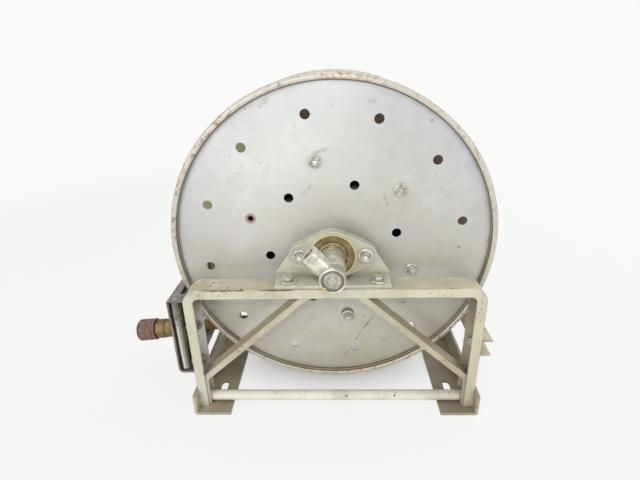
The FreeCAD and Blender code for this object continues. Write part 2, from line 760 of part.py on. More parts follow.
TIE_ANGLES = (30, 90, 210, 270, 330)


def tie_bolts():
    """Long bolts that hold the discs on the drum; one of the six places is empty."""
    bolts = []
    for angle in TIE_ANGLES:
        made = hex_bolt("small", "disc_gap + 2 * disc_wall")
        base = ("tie_circle * cos(hole_phase + %d)" % angle, "-disc_gap / 2 - disc_wall",
                "axle_height + tie_circle * sin(hole_phase + %d)" % angle)
        bolts.append(place(made, base, (1, 0, 0), "90"))
    return group("tie_bolts", bolts)


def drum_shell():
    """Rolled shell between the discs, with a hole for the outlet pipe."""
    body = new_body("drum_shell", ("0", "0", "axle_height"), (0, 1, 0), "90 - outlet_angle")
    half = "disc_gap / 2"
    inner = "drum_radius - drum_wall"
    revolve(body, [(inner, "-" + half, "0"), ("drum_radius", "-" + half, "0"), ("drum_radius", half, "0"),
                   (inner, half, "0")])
    hole = new_sketch(body, "XY_Plane", "drum_radius + 2")
    circle(hole, "0", "wind_start_plane", "outlet_dia / 2 + 1.5")
    pocket(body, hole, "drum_wall * 4", -1)
    return body


def hub_shaft():
    """Hollow shaft with a round plate that is welded to the front disc, closed at its inner end."""
    body = new_body("hub_shaft", ("0", "0", "axle_height"), (0, 1, 0), "90 - outlet_angle")
    nose = "-frame_depth / 2 + %s" % FLANGE_FACE
    disc_face = "-disc_gap / 2"
    tail = "-disc_gap / 2 + hub_reach"
    radius = "shaft_dia / 2"
    bore = "shaft_bore / 2"
    revolve(body, [("0", tail + " - hub_wall", "0"), (bore, tail + " - hub_wall", "0"), (bore, nose, "0"),
                   (radius, nose, "edge_break"), (radius, disc_face, "0"), ("hub_radius", disc_face, "0"),
                   ("hub_radius", disc_face + " + hub_wall", "2 * edge_break"), (radius, disc_face + " + hub_wall", "0"),
                   (radius, tail, "edge_break"), ("0", tail, "0")])
    port = new_sketch(body, "XY_Plane", "shaft_dia / 2 + 1")
    circle(port, "0", "-outlet_plane", "outlet_bore / 2")
    pocket(body, port, "shaft_dia / 2", -1)
    return body


def shaft_collar():
    body = new_body("shaft_collar", ("0", "-disc_gap / 2 - disc_wall", "axle_height"))
    revolve(body, [("shaft_dia / 2", "-collar_width - collar_clear", "0"),
                   ("collar_radius", "-collar_width - collar_clear", "edge_break"),
                   ("collar_radius", "-collar_clear", "edge_break"), ("shaft_dia / 2", "-collar_clear", "0")])
    return body


def swivel_barrel():
    """Fitting screwed into the hollow shaft: a hexagon, then the spindle that the elbow turns on."""
    body = new_body("swivel_barrel", ("0", FRONT + " + " + FLANGE_FACE, "axle_height"))
    hexagon = new_sketch(body, "XZ_Plane")
    outline(hexagon, hexagon_corners("barrel_flats"))
    pad(body, hexagon, "barrel_hex", -1)
    tip = "-barrel_hex - swivel_length + swivel_wall + 6"
    bore = "shaft_bore / 2 - 3"
    revolve(body, [("0", tip, "0"), ("spindle_radius", tip, "edge_break"), ("spindle_radius", "-barrel_hex / 2", "0"),
                   ("shaft_bore / 2", "0", "0"), ("shaft_bore / 2", "16", "0"), ("0", "16", "0")])
    passage = new_sketch(body, "XY_Plane")
    outline(passage, [("0", "-barrel_hex - 34", "0"), (bore, "-barrel_hex - 34", "0"), (bore, "17", "0"), ("0", "17", "0")])
    turn_profile(body, passage, True)
    return body


def swivel_elbow():
    """Round body that turns on the spindle, with one threaded inlet branch."""
    back = FRONT + " + %s - barrel_hex - part_clear" % FLANGE_FACE
    body = new_body("swivel_elbow", ("0", back, "axle_height"), (0, 1, 0), "-45")
    bore = "spindle_radius + running_fit"
    front = "-swivel_length"
    seat = "-swivel_length + swivel_wall"
    revolve(body, [(bore, seat, "0"), ("plug_radius", seat, "0"), ("plug_radius", front, "0"),
                   ("swivel_radius", front, "2 * edge_break"), ("swivel_radius", "0", "edge_break"), (bore, "0", "0")])
    branch = new_sketch(body, "XY_Plane", "spindle_radius + 3")
    circle(branch, "0", "-swivel_length + inlet_set_back", "inlet_dia / 2")
    pad(body, branch, "inlet_reach - spindle_radius - 3")
    mouth = new_sketch(body, "XY_Plane", "inlet_reach")
    circle(mouth, "0", "-swivel_length + inlet_set_back", "inlet_bore / 2")
    pocket(body, mouth, "inlet_depth", -1)
    passage = new_sketch(body, "XY_Plane", "inlet_reach")
    circle(passage, "0", "-swivel_length + inlet_set_back", "inlet_passage / 2")
    pocket(body, passage, "inlet_reach - spindle_radius + 3", -1)
    return body


def swivel_end_plug():
    body = new_body("swivel_end_plug", ("0", FRONT + " + %s - barrel_hex - part_clear - swivel_length" % FLANGE_FACE,
                                        "axle_height"))
    rim = "plug_radius"
    revolve(body, [("0", "-1.5", "0"), ("plug_radius * 0.45", "-1.5", "0"), ("plug_radius * 0.55", "0.5", "0"),
                   (rim, "0.5", "0"), (rim, "swivel_wall", "0"), ("0", "swivel_wall", "0")])
    return body


def grease_fitting():
    """Small nipple low on the left of the swivel's end ring."""
    reach = "(plug_radius + swivel_radius) / 2"
    body = new_body("grease_fitting", ("-%s * cos(45)" % reach,
                                       FRONT + " + %s - barrel_hex - part_clear - swivel_length" % FLANGE_FACE,
                                       "axle_height - %s * sin(45)" % reach))
    revolve(body, [("0", "-5", "0"), ("1", "-5", "0"), ("1.4", "-4.6", "0"), ("1.4", "-3", "0"), ("2.4", "-2", "0"),
                   ("2.4", "0", "0"), ("0", "0", "0")])
    return body


def outlet_pipe():
    """Pipe from the hub out to the drum's surface, where it turns up to meet the hose."""
    angle = math.radians(value("outlet_angle"))
    height = value("axle_height")
    radial = V(math.cos(angle), 0, math.sin(angle))
    along = V(0, 1, 0)
    centre = V(0, -value("outlet_plane"), height)
    start = centre + radial * (value("shaft_dia") / 2)
    first = centre + radial * value("outlet_radius")
    second = first + along * (value("wind_start_plane") + value("outlet_plane"))
    hose = hose_start()
    tangent = hose["tangent"]
    beyond = (hose["point"] - second).dot(V(-tangent.z, 0, tangent.x)) / radial.dot(V(-tangent.z, 0, tangent.x))
    third = second + radial * beyond
    stop = hose["point"] - tangent * value("hose_dia")
    route = [start, first, second, third, stop]
    bends = [value("outlet_bend"), value("outlet_bend"), value("nipple_bend")]
    outer = pipe_along(route, bends, value("outlet_dia") / 2)
    inner = pipe_along(route, bends, value("outlet_bore") / 2)
    made = doc.addObject("Part::Feature", "outlet_pipe")
    made.Shape = outer.cut(inner)
    return finish(made, "outlet_pipe")


def pipe_along(route, bends, radius):
    """A round bar along straight runs joined by tangent arcs."""
    edges = []
    here = route[0]
    for index, bend in enumerate(bends, start=1):
        corner = route[index]
        back = (route[index - 1] - corner).normalize()
        ahead = (route[index + 1] - corner).normalize()
        half_angle = math.acos(back.dot(ahead)) / 2
        reach = bend / math.tan(half_angle)
        middle = (back + ahead).normalize()
        begin = corner + back * reach
        end = corner + ahead * reach
        top = corner + middle * (bend / math.sin(half_angle) - bend)
        edges.append(Part.LineSegment(here, begin).toShape())
        edges.append(Part.Arc(begin, top, end).toShape())
        here = end
    edges.append(Part.LineSegment(here, route[-1]).toShape())
    return sweep_round(Part.Wire(edges), route[0], (route[1] - route[0]).normalize(), radius)


def sweep_round(path, start, direction, radius):
    section = Part.Wire([Part.makeCircle(radius, start, direction)])
    return path.makePipeShell([section], True, False)


def wind_point(angle, plane, radius=None):
    radius = radius or value("wind_radius")
    return V(radius * math.cos(angle), plane, value("axle_height") + radius * math.sin(angle))


WIND_START_ANGLE = math.radians(178.0)


def hose_start():
    """Where the winding leaves the outlet pipe, and its direction there: up, then clockwise."""
    return {"point": wind_point(WIND_START_ANGLE, value("wind_start_plane")),
            "tangent": V(math.sin(WIND_START_ANGLE), 0, -math.cos(WIND_START_ANGLE))}


def lead_line():
    """The straight hose from the winding's end out through the guide."""
    slope = math.radians(value("lead_slope"))
    direction = V(-math.cos(slope), 0, -math.sin(slope))
    end_angle = math.radians(-90) + slope
    return {"start": wind_point(end_angle, -value("wind_end_plane")), "direction": direction, "angle": end_angle}


def hose_winding():
    """One layer of hose on the drum, as many whole turns as fit, as one unbroken tube."""
    begin = hose_start()
    lead = lead_line()
    start_plane = value("wind_start_plane")
    end_plane = -value("wind_end_plane")
    gauge = value("hose_dia")
    part_turn = WIND_START_ANGLE - lead["angle"]
    room = (start_plane - end_plane) / (gauge + value("wind_gap"))
    total = part_turn + 2 * math.pi * math.floor(room - part_turn / (2 * math.pi))
    count = round(total / (math.pi / 4))
    step = total / count
    edges = [Part.LineSegment(begin["point"] - begin["tangent"] * gauge, begin["point"]).toShape()]
    samples = []

    def spot(share):
        along = start_plane + (end_plane - start_plane) * eased(share, value("wind_ease"))
        return wind_point(WIND_START_ANGLE - total * share, along)

    for index in range(count):
        low = spot(index / count)
        middle = spot((index + 0.5) / count)
        high = spot((index + 1) / count)
        edges.append(Part.Arc(low, middle, high).toShape())
    edges.append(Part.LineSegment(spot(1), spot(1) + lead["direction"] * gauge).toShape())
    path = Part.Wire(edges)
    for index in range(count * 12 + 1):
        samples.append(spot(index / (count * 12)))
    print("hose winding: %.0f mm long, least gap to itself %.2f mm" % (path.Length, least_gap(samples, step / 12)))
    made = doc.addObject("Part::Feature", "hose_winding")
    made.Shape = sweep_round(path, begin["point"] - begin["tangent"] * gauge, begin["tangent"], gauge / 2)
    return finish(made, "hose_winding")


def eased(share, ramp):
    """Travel that starts and stops over a short share of the way and is even between."""
    if share < ramp:
        return share * share / (2 * ramp * (1 - ramp))
    if share > 1 - ramp:
        return 1 - eased(1 - share, ramp)
    return (share - ramp / 2) / (1 - ramp)


def least_gap(samples, step):
    """The smallest clear distance between stretches of the hose half a turn or more apart."""
    apart = int(math.pi / step)
    best = min(first.distanceToPoint(second) for index, first in enumerate(samples)
               for second in samples[index + apart:])
    return best - value("hose_dia")


def lead_point(x_text):
    """The point of the lead's centre line at a given x."""
    lead = lead_line()
    return lead["start"] + lead["direction"] * ((value(x_text) - lead["start"].x) / lead["direction"].x)


def along_lead(thing, start_text):
    """Place a piece drawn along +Z on the lead's centre line, pointing outward."""
    lead = lead_line()
    thing.Placement = FreeCAD.Placement(lead_point("-(%s)" % start_text), FreeCAD.Rotation(V(0, 0, 1), lead["direction"]))
    return thing


def hose_lead():
    lead = lead_line()
    begin = lead["start"] + lead["direction"] * (value("hose_dia") + value("part_clear"))
    length = (lead_point("-lead_end") - begin).Length
    made = doc.addObject("Part::Feature", "hose_lead")
    made.Shape = Part.makeCylinder(value("hose_dia") / 2, length, begin, lead["direction"])
    return finish(made, "hose_lead")


def lead_body(label, start_text):
    """A body for turned pieces, its Y axis on the lead's centre line, pointing outward."""
    body = doc.addObject("PartDesign::Body", label)
    finish(body, label)
    body.Placement = FreeCAD.Placement(lead_point("-(%s)" % start_text),
                                       FreeCAD.Rotation(V(0, 1, 0), lead_line()["direction"]))
    return body


def grooved(radius, depth, half_width, places):
    """Outline points of a turned surface with a V groove at each place along it."""
    points = []
    for place_text in places:
        points += [(radius, "%s - %s" % (place_text, half_width), "0"),
                   ("%s - %s" % (radius, depth), place_text, "0"),
                   (radius, "%s + %s" % (place_text, half_width), "0")]
    return points


def hose_ferrule():
    """Crimped sleeve at the end of the hose, with shallow grooves."""
    body = lead_body("hose_ferrule", "lead_end")
    rim = "ferrule_dia / 2"
    bore = "outlet_bore / 2"
    rings = grooved(rim, "edge_break", "3 * edge_break", ["ferrule_length * %.1f" % share for share in (0.3, 0.5, 0.7)])
    revolve(body, [(bore, "0", "0"), (rim, "0", "edge_break")] + rings +
            [(rim, "ferrule_length", "edge_break"), (bore, "ferrule_length", "0")])
    return body


def hose_hex(label, flats, length, start):
    """Hexagon of a hose fitting, bored through, its outer corners chamfered."""
    body = lead_body(label, start)
    prism = new_sketch(body, "XZ_Plane")
    outline(prism, hexagon_corners(flats))
    pad(body, prism, length)
    corner = "(%s / sqrt(3))" % flats
    shave = "(%s - %s / 2)" % (corner, flats)
    revolve(body, [(corner, "%s - %s / 2" % (length, shave), "0"), (corner + " + 1", length, "0"),
                   ("%s / 2" % flats, length, "0")], True)
    revolve(body, [("0", "0", "0"), ("outlet_bore / 2", "0", "0"), ("outlet_bore / 2", length, "0"),
                   ("0", length, "0")], True)
    return body


STUB_RADIUS = "(coupling_bore / 2 - coupling_shoulder)"


def hose_stub(body, length):
    """Round stub on the outer hexagon, flared at its end, on which the swivel nut turns."""
    reach = "(%s + part_clear + coupling_shoulder + 2 * part_clear)" % length
    flare = "(coupling_bore / 2 - 1)"
    inner = "outlet_bore / 2"
    revolve(body, [(inner, length, "0"), (STUB_RADIUS, length, "0"), (STUB_RADIUS, reach, "0"), (flare, reach, "0"),
                   (flare, reach + " + coupling_shoulder / 2", "edge_break"),
                   (inner, reach + " + coupling_shoulder / 2", "0")])


def coupling_nut():
    """Swivel nut that turns on the fitting's stub; its threaded mouth faces outward."""
    body = lead_body("coupling_nut", COUPLING_START)
    rim = "coupling_dia / 2"
    shoulder = STUB_RADIUS + " + part_clear"
    mouth = "coupling_bore / 2"
    chamber = mouth + " - part_clear"
    seat = "coupling_shoulder * 1.5 + 4 * part_clear"
    rings = grooved(rim, "2 * edge_break", "2 * edge_break", ["coupling_length * %.2f" % share for share in (0.12, 0.88)])
    revolve(body, [(shoulder, "0", "0"), (rim, "0", "edge_break")] + rings +
            [(rim, "coupling_length", "2 * edge_break"), (mouth, "coupling_length", "0"), (mouth, seat, "0"),
             (chamber, seat, "0"), (chamber, "coupling_shoulder", "0"), (shoulder, "coupling_shoulder", "0")])
    return body


FERRULE_END = "lead_end + ferrule_length * cos(lead_slope)"
HEX_END = "%s + hex_inner_length * cos(lead_slope)" % FERRULE_END
COUPLING_START = "%s + (hex_outer_length + part_clear) * cos(lead_slope)" % HEX_END


def spring_case():
    """Pressed cup that holds the rewind spring, flange against the rear disc."""
    body = new_body("spring_case", ("0", "disc_gap / 2", "axle_height"))
    inner = "case_radius - disc_wall"
    depth = "-case_width"
    revolve(body, [("0", depth, "0"), ("case_radius", depth, "case_bend"), ("case_radius", "-disc_wall", "0"),
                   ("case_flange", "-disc_wall", "0"), ("case_flange", "0", "0"), (inner, "0", "0"),
                   (inner, depth + " + disc_wall", "case_bend - disc_wall / 2"), ("0", depth + " + disc_wall", "0")])
    body.Placement = FreeCAD.Placement(body.Placement.Base, FreeCAD.Rotation(V(0, 1, 0), -value("hole_phase")))
    hole = new_sketch(body, "XZ_Plane", "-disc_wall - 1")
    circle(hole, "inner_circle", "0", "small_bolt / 2 + bolt_clear")
    around(body, pocket(body, hole, "disc_wall + 2"), 6)
    return body


def case_bolts():
    """Bolts through the flange of the spring case and the inner circle of the rear disc's holes."""
    bolts = []
    for index in range(6):
        made = hex_bolt("small", "2 * disc_wall")
        angle = "hole_phase + %d" % (360 * index // 6)
        base = ("inner_circle * cos(%s)" % angle, "disc_gap / 2 + disc_wall", "axle_height + inner_circle * sin(%s)" % angle)
        bolts.append(place(made, base, (1, 0, 0), "-90"))
    return group("case_bolts", bolts)


def power_spring():
    """Flat spiral of half turns from the arbor out to the wall of its case."""
    inner = value("shaft_dia / 2 + spring_play")
    outer = value("case_radius - disc_wall - spring_play")
    halves = int(value("spring_turns") * 2)
    step = (outer - inner) / (halves - 1)
    half_wall = value("spring_wall") / 2
    height = value("axle_height")
    rows = {-1: [], 1: []}
    centre = 0.0
    radius = inner
    side = 1
    for index in range(halves):
        for edge in (-1, 1):
            reach = radius + edge * half_wall
            first = V(centre + side * reach, 0, height)
            top = V(centre, 0, height + side * reach)
            last = V(centre - side * reach, 0, height)
            rows[edge].append(Part.Arc(first, top, last).toShape())
        centre += side * step / 2
        radius += step / 2
        side = -side
    return close_spring(rows)


def close_spring(rows):
    ends = []
    for index, vertex in ((0, 0), (-1, -1)):
        inner_end = rows[-1][index].Vertexes[vertex].Point
        outer_end = rows[1][index].Vertexes[vertex].Point
        ends.append(Part.LineSegment(V(*inner_end), V(*outer_end)).toShape())
    loop = Part.Wire(Part.__sortEdges__(rows[-1] + rows[1] + ends))
    made = doc.addObject("Part::Feature", "power_spring")
    made.Shape = Part.Face(loop).extrude(V(0, value("spring_width"), 0))
    y_middle = "disc_gap / 2 - case_width / 2 - spring_width / 2"
    place(made, ("0", y_middle, "0"))
    return finish(made, "power_spring")


def spring_arbor():
    """Fixed shaft clamped in the rear flange; the spring's inner end hooks on it."""
    body = axle_body("spring_arbor", -1)
    start = "%s - arbor_tail" % FLANGE_FACE
    end = "frame_depth / 2 - disc_gap / 2 + case_width - disc_wall - 6"
    thread = "shaft_dia / 2 - 2"
    revolve(body, [("0", start, "0"), (thread, start, "edge_break"), (thread, FLANGE_FACE + " - lip_height", "0"),
                   ("shaft_dia / 2", FLANGE_FACE + " - lip_height", "0"), ("shaft_dia / 2", end, "edge_break"),
                   ("0", end, "0")])
    return body


def arbor_nut():
    """Large hex nut that locks the arbor in its flange."""
    body = axle_body("arbor_nut", -1, "(%s - lip_height)" % FLANGE_FACE)
    ring = new_sketch(body, "XZ_Plane")
    outline(ring, hexagon_corners("arbor_nut_flats"))
    circle(ring, "0", "0", "shaft_dia / 2 - 2")
    pad(body, ring, "arbor_tail - 4", -1)
    return body


def rear_hub_ring():
    """Housing on the rear disc that turns on the arbor through its bearing."""
    body = axle_body("rear_hub_ring", -1, "(frame_depth / 2 - disc_gap / 2 - disc_wall)")
    low = "-race_width - 2 * seal_wall"
    revolve(body, [("outer_ring_radius", low, "0"), ("rear_hub_radius", low, "2 * edge_break"),
                   ("rear_hub_radius", "-rear_hub_wall", "0"), ("hub_radius", "-rear_hub_wall", "edge_break"),
                   ("hub_radius", "0", "0"), ("outer_ring_radius", "0", "0")])
    return body


def guide_frame():
    """Folded sheet guide on the left legs: a web with a window, a narrow tray on top and a deep one
    below that turns up along the legs. Its ends are open, so the upright rollers show."""
    body = new_body("guide_frame")
    leg = "-(%s)" % HALF
    tray_edge = "-(guide_face - guide_tray)"
    inner_fold = "guide_fold - guide_wall"
    low = "guide_floor + guide_wall"
    high = "guide_top - guide_wall"
    inside = "-(guide_face - guide_wall)"
    lip_face = leg + " - guide_wall"
    section = new_sketch(body, "XZ_Plane", "-guide_half")
    outline(section, [(tray_edge, "guide_top", "0"), ("-guide_face", "guide_top", "guide_wall"),
                      ("-guide_face", "guide_floor", "guide_fold"), (leg, "guide_floor", "guide_fold"),
                      (leg, "guide_floor + guide_lip", "0"), (lip_face, "guide_floor + guide_lip", "0"),
                      (lip_face, low, inner_fold), (inside, low, inner_fold), (inside, high, "0"),
                      (tray_edge, high, "0")])
    pad(body, section, "2 * guide_half")
    for end in (1, -1):
        ear = new_sketch(body, "XZ_Plane", "%d * guide_half" % -end)
        outline(ear, [(leg, "guide_floor + guide_lip / 2", "0"), (leg, "guide_top", "guide_fold"),
                      (tray_edge + " - 1", "guide_top", "0"), (tray_edge + " - 1", high, "0"),
                      (lip_face, high, inner_fold), (lip_face, "guide_floor + guide_lip / 2", "0")])
        pad(body, ear, "guide_ear", end)
    window = new_sketch(body, "YZ_Plane", "-guide_face")
    side = "(cheek_face - window_margin)"
    outline(window, box_corners("-" + side, "roller_low", side, "window_top", "guide_fold"))
    pocket(body, window, "guide_wall * 2")
    holes = new_sketch(body, "YZ_Plane", leg)
    for sign in ("-", ""):
        for level in ("guide_bolt_high", "guide_bolt_low"):
            circle(holes, sign + "(frame_depth / 2 - leg_bolt_inset)", level, "small_bolt / 2 + bolt_clear")
    pocket(body, holes, "guide_wall * 2", -1)
    pins = new_sketch(body, "XY_Plane", "guide_top")
    for sign in ("-", ""):
        circle(pins, "-roller_line", sign + "up_roller_plane", "roller_bore / 2")
    pocket(body, pins, "guide_height", -1)
    return body


def guide_cheek(label, end):
    """Plate across the guide, inside an upright roller, that carries one end of the lying rollers."""
    body = new_body(label)
    face = "%d * cheek_face" % -end
    plate = new_sketch(body, "XZ_Plane", face)
    outer = "-(guide_face - guide_wall)"
    low = "guide_floor + guide_wall"
    high = "guide_top - guide_wall"
    outline(plate, [(outer, low, "guide_fold - guide_wall"), (outer + " + cheek_width", low, "0"),
                    (outer + " + cheek_width", high, "0"), (outer, high, "0")])
    pad(body, plate, "cheek_wall", -end)
    pins = new_sketch(body, "XZ_Plane", face)
    for level in ROLLER_LEVELS:
        circle(pins, "-roller_line", level, "roller_bore / 2")
    pocket(body, pins, "cheek_wall", -end)
    return body


ROLLER_LEVELS = ("roller_low", "(window_top + roller_over)")


def guide_bolts():
    bolts = []
    for sign in ("-", ""):
        for level in ("guide_bolt_high", "guide_bolt_low"):
            made = hex_bolt("small", "channel_wall + guide_wall")
            y_text = sign + "(frame_depth / 2 - leg_bolt_inset)"
            bolts.append(place(made, ("-(%s) - guide_wall" % HALF, y_text, level), (0, 1, 0), "-90"))
    return group("guide_bolts", bolts)


def rod(name, radius, length, base, axis, angle):
    made = doc.addObject("Part::Cylinder", name)
    made.setExpression("Radius", bind(radius))
    made.setExpression("Height", bind(length))
    return place(made, base, axis, angle)


def roller(label, dia, length, base, axis, angle):
    outer = rod("Roller", dia + " / 2", length, base, axis, angle)
    bore = rod("Bore", "roller_bore / 2 + running_fit", length, base, axis, angle)
    made = doc.addObject("Part::Cut", label)
    made.Base = outer
    made.Tool = bore
    return finish(made, label)


def guide_rollers():
    """Two upright rollers near the guide's ends and two lying ones, each turning on its own pin."""
    pins = []
    up_length = "(guide_height - guide_fold - guide_wall - part_clear)"
    lying_length = "(2 * (cheek_face - part_clear))"
    for label, sign in (("guide_roller_front", "-"), ("guide_roller_rear", "")):
        base = ("-roller_line", sign + "up_roller_plane", "guide_floor + guide_fold")
        roller(label, "up_roller_dia", up_length, base, (0, 0, 1), "0")
        low = (base[0], base[1], "guide_floor")
        pins.append(rod("Pin", "roller_bore / 2", "guide_height", low, (0, 0, 1), "0"))
    for label, level in (("guide_roller_bottom", ROLLER_LEVELS[0]), ("guide_roller_top", ROLLER_LEVELS[1])):
        base = ("-roller_line", "-%s / 2" % lying_length, level)
        roller(label, "roller_dia", lying_length, base, (1, 0, 0), "-90")
        reach = "(cheek_face + cheek_wall)"
        pins.append(rod("Pin", "roller_bore / 2", "2 * " + reach, (base[0], "-" + reach, level), (1, 0, 0), "-90"))
    return group("guide_pins", pins)


for name, end in (("front", 1), ("rear", -1)):
    end_frame("end_frame_" + name, end)
    brace("brace_" + name, end)
    cross_tube("cross_tube_" + name, end)
    bearing_bracket("bearing_bracket_" + name, end)
    side_disc("disc_" + name, end)
for name, side in (("right", 1), ("left", -1)):
    base_angle("base_angle_" + name, side)
spacer_channel()
spacer_bolts()
bracket_bolts()
diamond_flange("bearing_housing", 1, "outer_ring_radius")
diamond_flange("arbor_flange", -1, "shaft_dia / 2")
flange_bolts("housing_bolts", 1)
flange_bolts("arbor_bolts", -1)
outer_ring("bearing_outer_ring", 1, RACE_MIDDLE)
inner_ring("bearing_inner_ring", 1, RACE_MIDDLE)
bearing_seals("bearing_seals", 1, RACE_MIDDLE)
race_balls("bearing_balls", 1, RACE_MIDDLE)
outer_ring("rear_outer_ring", -1, REAR_HUB_MIDDLE)
inner_ring("rear_inner_ring", -1, REAR_HUB_MIDDLE)
race_balls("rear_balls", -1, REAR_HUB_MIDDLE)
rear_hub_ring()
tie_bolts()
drum_shell()
hub_shaft()
shaft_collar()
swivel_barrel()
swivel_elbow()
swivel_end_plug()
grease_fitting()
outlet_pipe()
hose_winding()
hose_lead()
hose_ferrule()
hose_hex("hose_hex_inner", "hex_inner_flats", "hex_inner_length", FERRULE_END)
hose_stub(hose_hex("hose_hex_outer", "hex_outer_flats", "hex_outer_length", HEX_END), "hex_outer_length")
coupling_nut()
spring_case()
case_bolts()
power_spring()
spring_arbor()
arbor_nut()
guide_frame()
for name, end in (("front", 1), ("rear", -1)):
    guide_cheek("guide_cheek_" + name, end)
guide_bolts()
guide_rollers()

doc.recompute()
for thing in doc.Objects:
    if "Invalid" in thing.State or "Error" in thing.State:
        raise RuntimeError("%s failed: %s" % (thing.Label, thing.State))
for thing in SUB_PARTS:
    if thing.Shape.isNull() or not thing.Shape.isValid() or not thing.Shape.Solids:
        raise RuntimeError("%s has no valid solid" % thing.Label)
for thing in SUB_PARTS:
    thing.Shape.exportStep("parts/%s.step" % thing.Label)
print("%d sub-parts" % len(SUB_PARTS))
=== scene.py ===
import bpy
import math
from mathutils import Matrix, Vector


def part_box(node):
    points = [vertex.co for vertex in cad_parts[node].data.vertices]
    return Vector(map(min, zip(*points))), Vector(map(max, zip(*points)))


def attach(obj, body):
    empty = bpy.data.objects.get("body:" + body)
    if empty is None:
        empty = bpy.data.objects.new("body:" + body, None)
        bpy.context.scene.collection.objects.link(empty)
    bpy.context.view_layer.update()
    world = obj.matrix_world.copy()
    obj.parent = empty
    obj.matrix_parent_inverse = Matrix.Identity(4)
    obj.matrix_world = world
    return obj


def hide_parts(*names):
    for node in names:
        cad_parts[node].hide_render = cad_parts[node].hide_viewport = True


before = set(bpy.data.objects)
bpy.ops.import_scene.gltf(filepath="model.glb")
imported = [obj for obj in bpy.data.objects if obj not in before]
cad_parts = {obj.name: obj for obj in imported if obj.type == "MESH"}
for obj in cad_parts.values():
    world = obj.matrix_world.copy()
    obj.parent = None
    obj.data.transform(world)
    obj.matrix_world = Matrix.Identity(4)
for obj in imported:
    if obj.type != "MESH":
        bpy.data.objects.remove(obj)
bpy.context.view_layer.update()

# The photographer's stand. A wide lens looks down at the front of the reel from a little
# over half a metre away, almost square on. The place and the turn of the camera were solved
# from the round disc and the square frame.
LENS = 23.76
SENSOR = 36.0
EYE = Vector((0.0042, -0.6763, 0.5415))
LOOK_DOWN = math.radians(23.12)
LOOK_ASIDE = math.radians(-2.24)
TILT = math.radians(-1.62)


def add_object(name, data):
    """A new object in the scene's collection."""
    made = bpy.data.objects.new(name, data)
    bpy.context.scene.collection.objects.link(made)
    return made


forward = Vector((math.sin(LOOK_ASIDE) * math.cos(LOOK_DOWN), math.cos(LOOK_ASIDE) * math.cos(LOOK_DOWN),
                  -math.sin(LOOK_DOWN)))
level_right = forward.cross(Vector((0, 0, 1))).normalized()
level_up = level_right.cross(forward)
right = level_right * math.cos(TILT) + level_up * math.sin(TILT)
up = level_up * math.cos(TILT) - level_right * math.sin(TILT)
camera_data = bpy.data.cameras.new("camera")
camera_data.lens = LENS
camera_data.sensor_width = SENSOR
camera_data.clip_start = 0.01
camera = add_object("camera", camera_data)
camera.matrix_world = Matrix.Translation(EYE) @ Matrix((right, up, -forward)).transposed().to_4x4()
bpy.context.scene.camera = camera

# The studio. A pale floor runs out into a white surround; under the reel its glow drops, a
# painted shadow. A broad lamp stands in front on the left, as a window would. Weaker ones hang
# overhead and stand at the front right and behind on the right, and a very small one sits above
# the camera.
BACKDROP = (0.95, 0.948, 0.94, 1)
FLOOR_COLOUR = (0.86, 0.86, 0.85, 1)
FLOOR_REACH = 6.0
GLOW_IN_PAINTED_SHADOW = 0.3
GLOW_BESIDE = 0.85
ROOM_LIGHT = 0.6
FLOOR_DROP = 0.0004
GLOW_OVAL = (1.0, 2.2, 0.0)


def shader_node(tree, kind, place=(0, 0), **settings):
    """One node in a shader tree, with its settings and its unlinked sockets by name."""
    made = tree.nodes.new("ShaderNode" + kind)
    made.location = place
    for name, setting in settings.items():
        label = name.replace("_", " ")
        if name in made.inputs:
            made.inputs[name].default_value = setting
        elif label in made.inputs:
            made.inputs[label].default_value = setting
        else:
            setattr(made, name, setting)
    return made


def chain(tree, *steps):
    """Link sources to targets. A target is (node, input), a source a node or (node, output)."""
    for source, target in steps:
        node, output = source if isinstance(source, tuple) else (source, 0)
        tree.links.new(node.outputs[output], target[0].inputs[target[1]])


def new_material(name):
    made = bpy.data.materials.new(name)
    made.use_nodes = True
    surface = made.node_tree.nodes["Principled BSDF"]
    return made, made.node_tree, surface


def seen_directly(tree):
    """1 for rays from the camera, in a mirror or through glass, and 0 for the light on the object."""
    path = shader_node(tree, "LightPath")
    straight = shader_node(tree, "Math", operation="MAXIMUM")
    any_way = shader_node(tree, "Math", operation="MAXIMUM")
    chain(tree, ((path, "Is Camera Ray"), (straight, 0)), ((path, "Is Transmission Ray"), (straight, 1)),
          (straight, (any_way, 0)), ((path, "Is Glossy Ray"), (any_way, 1)))
    return any_way


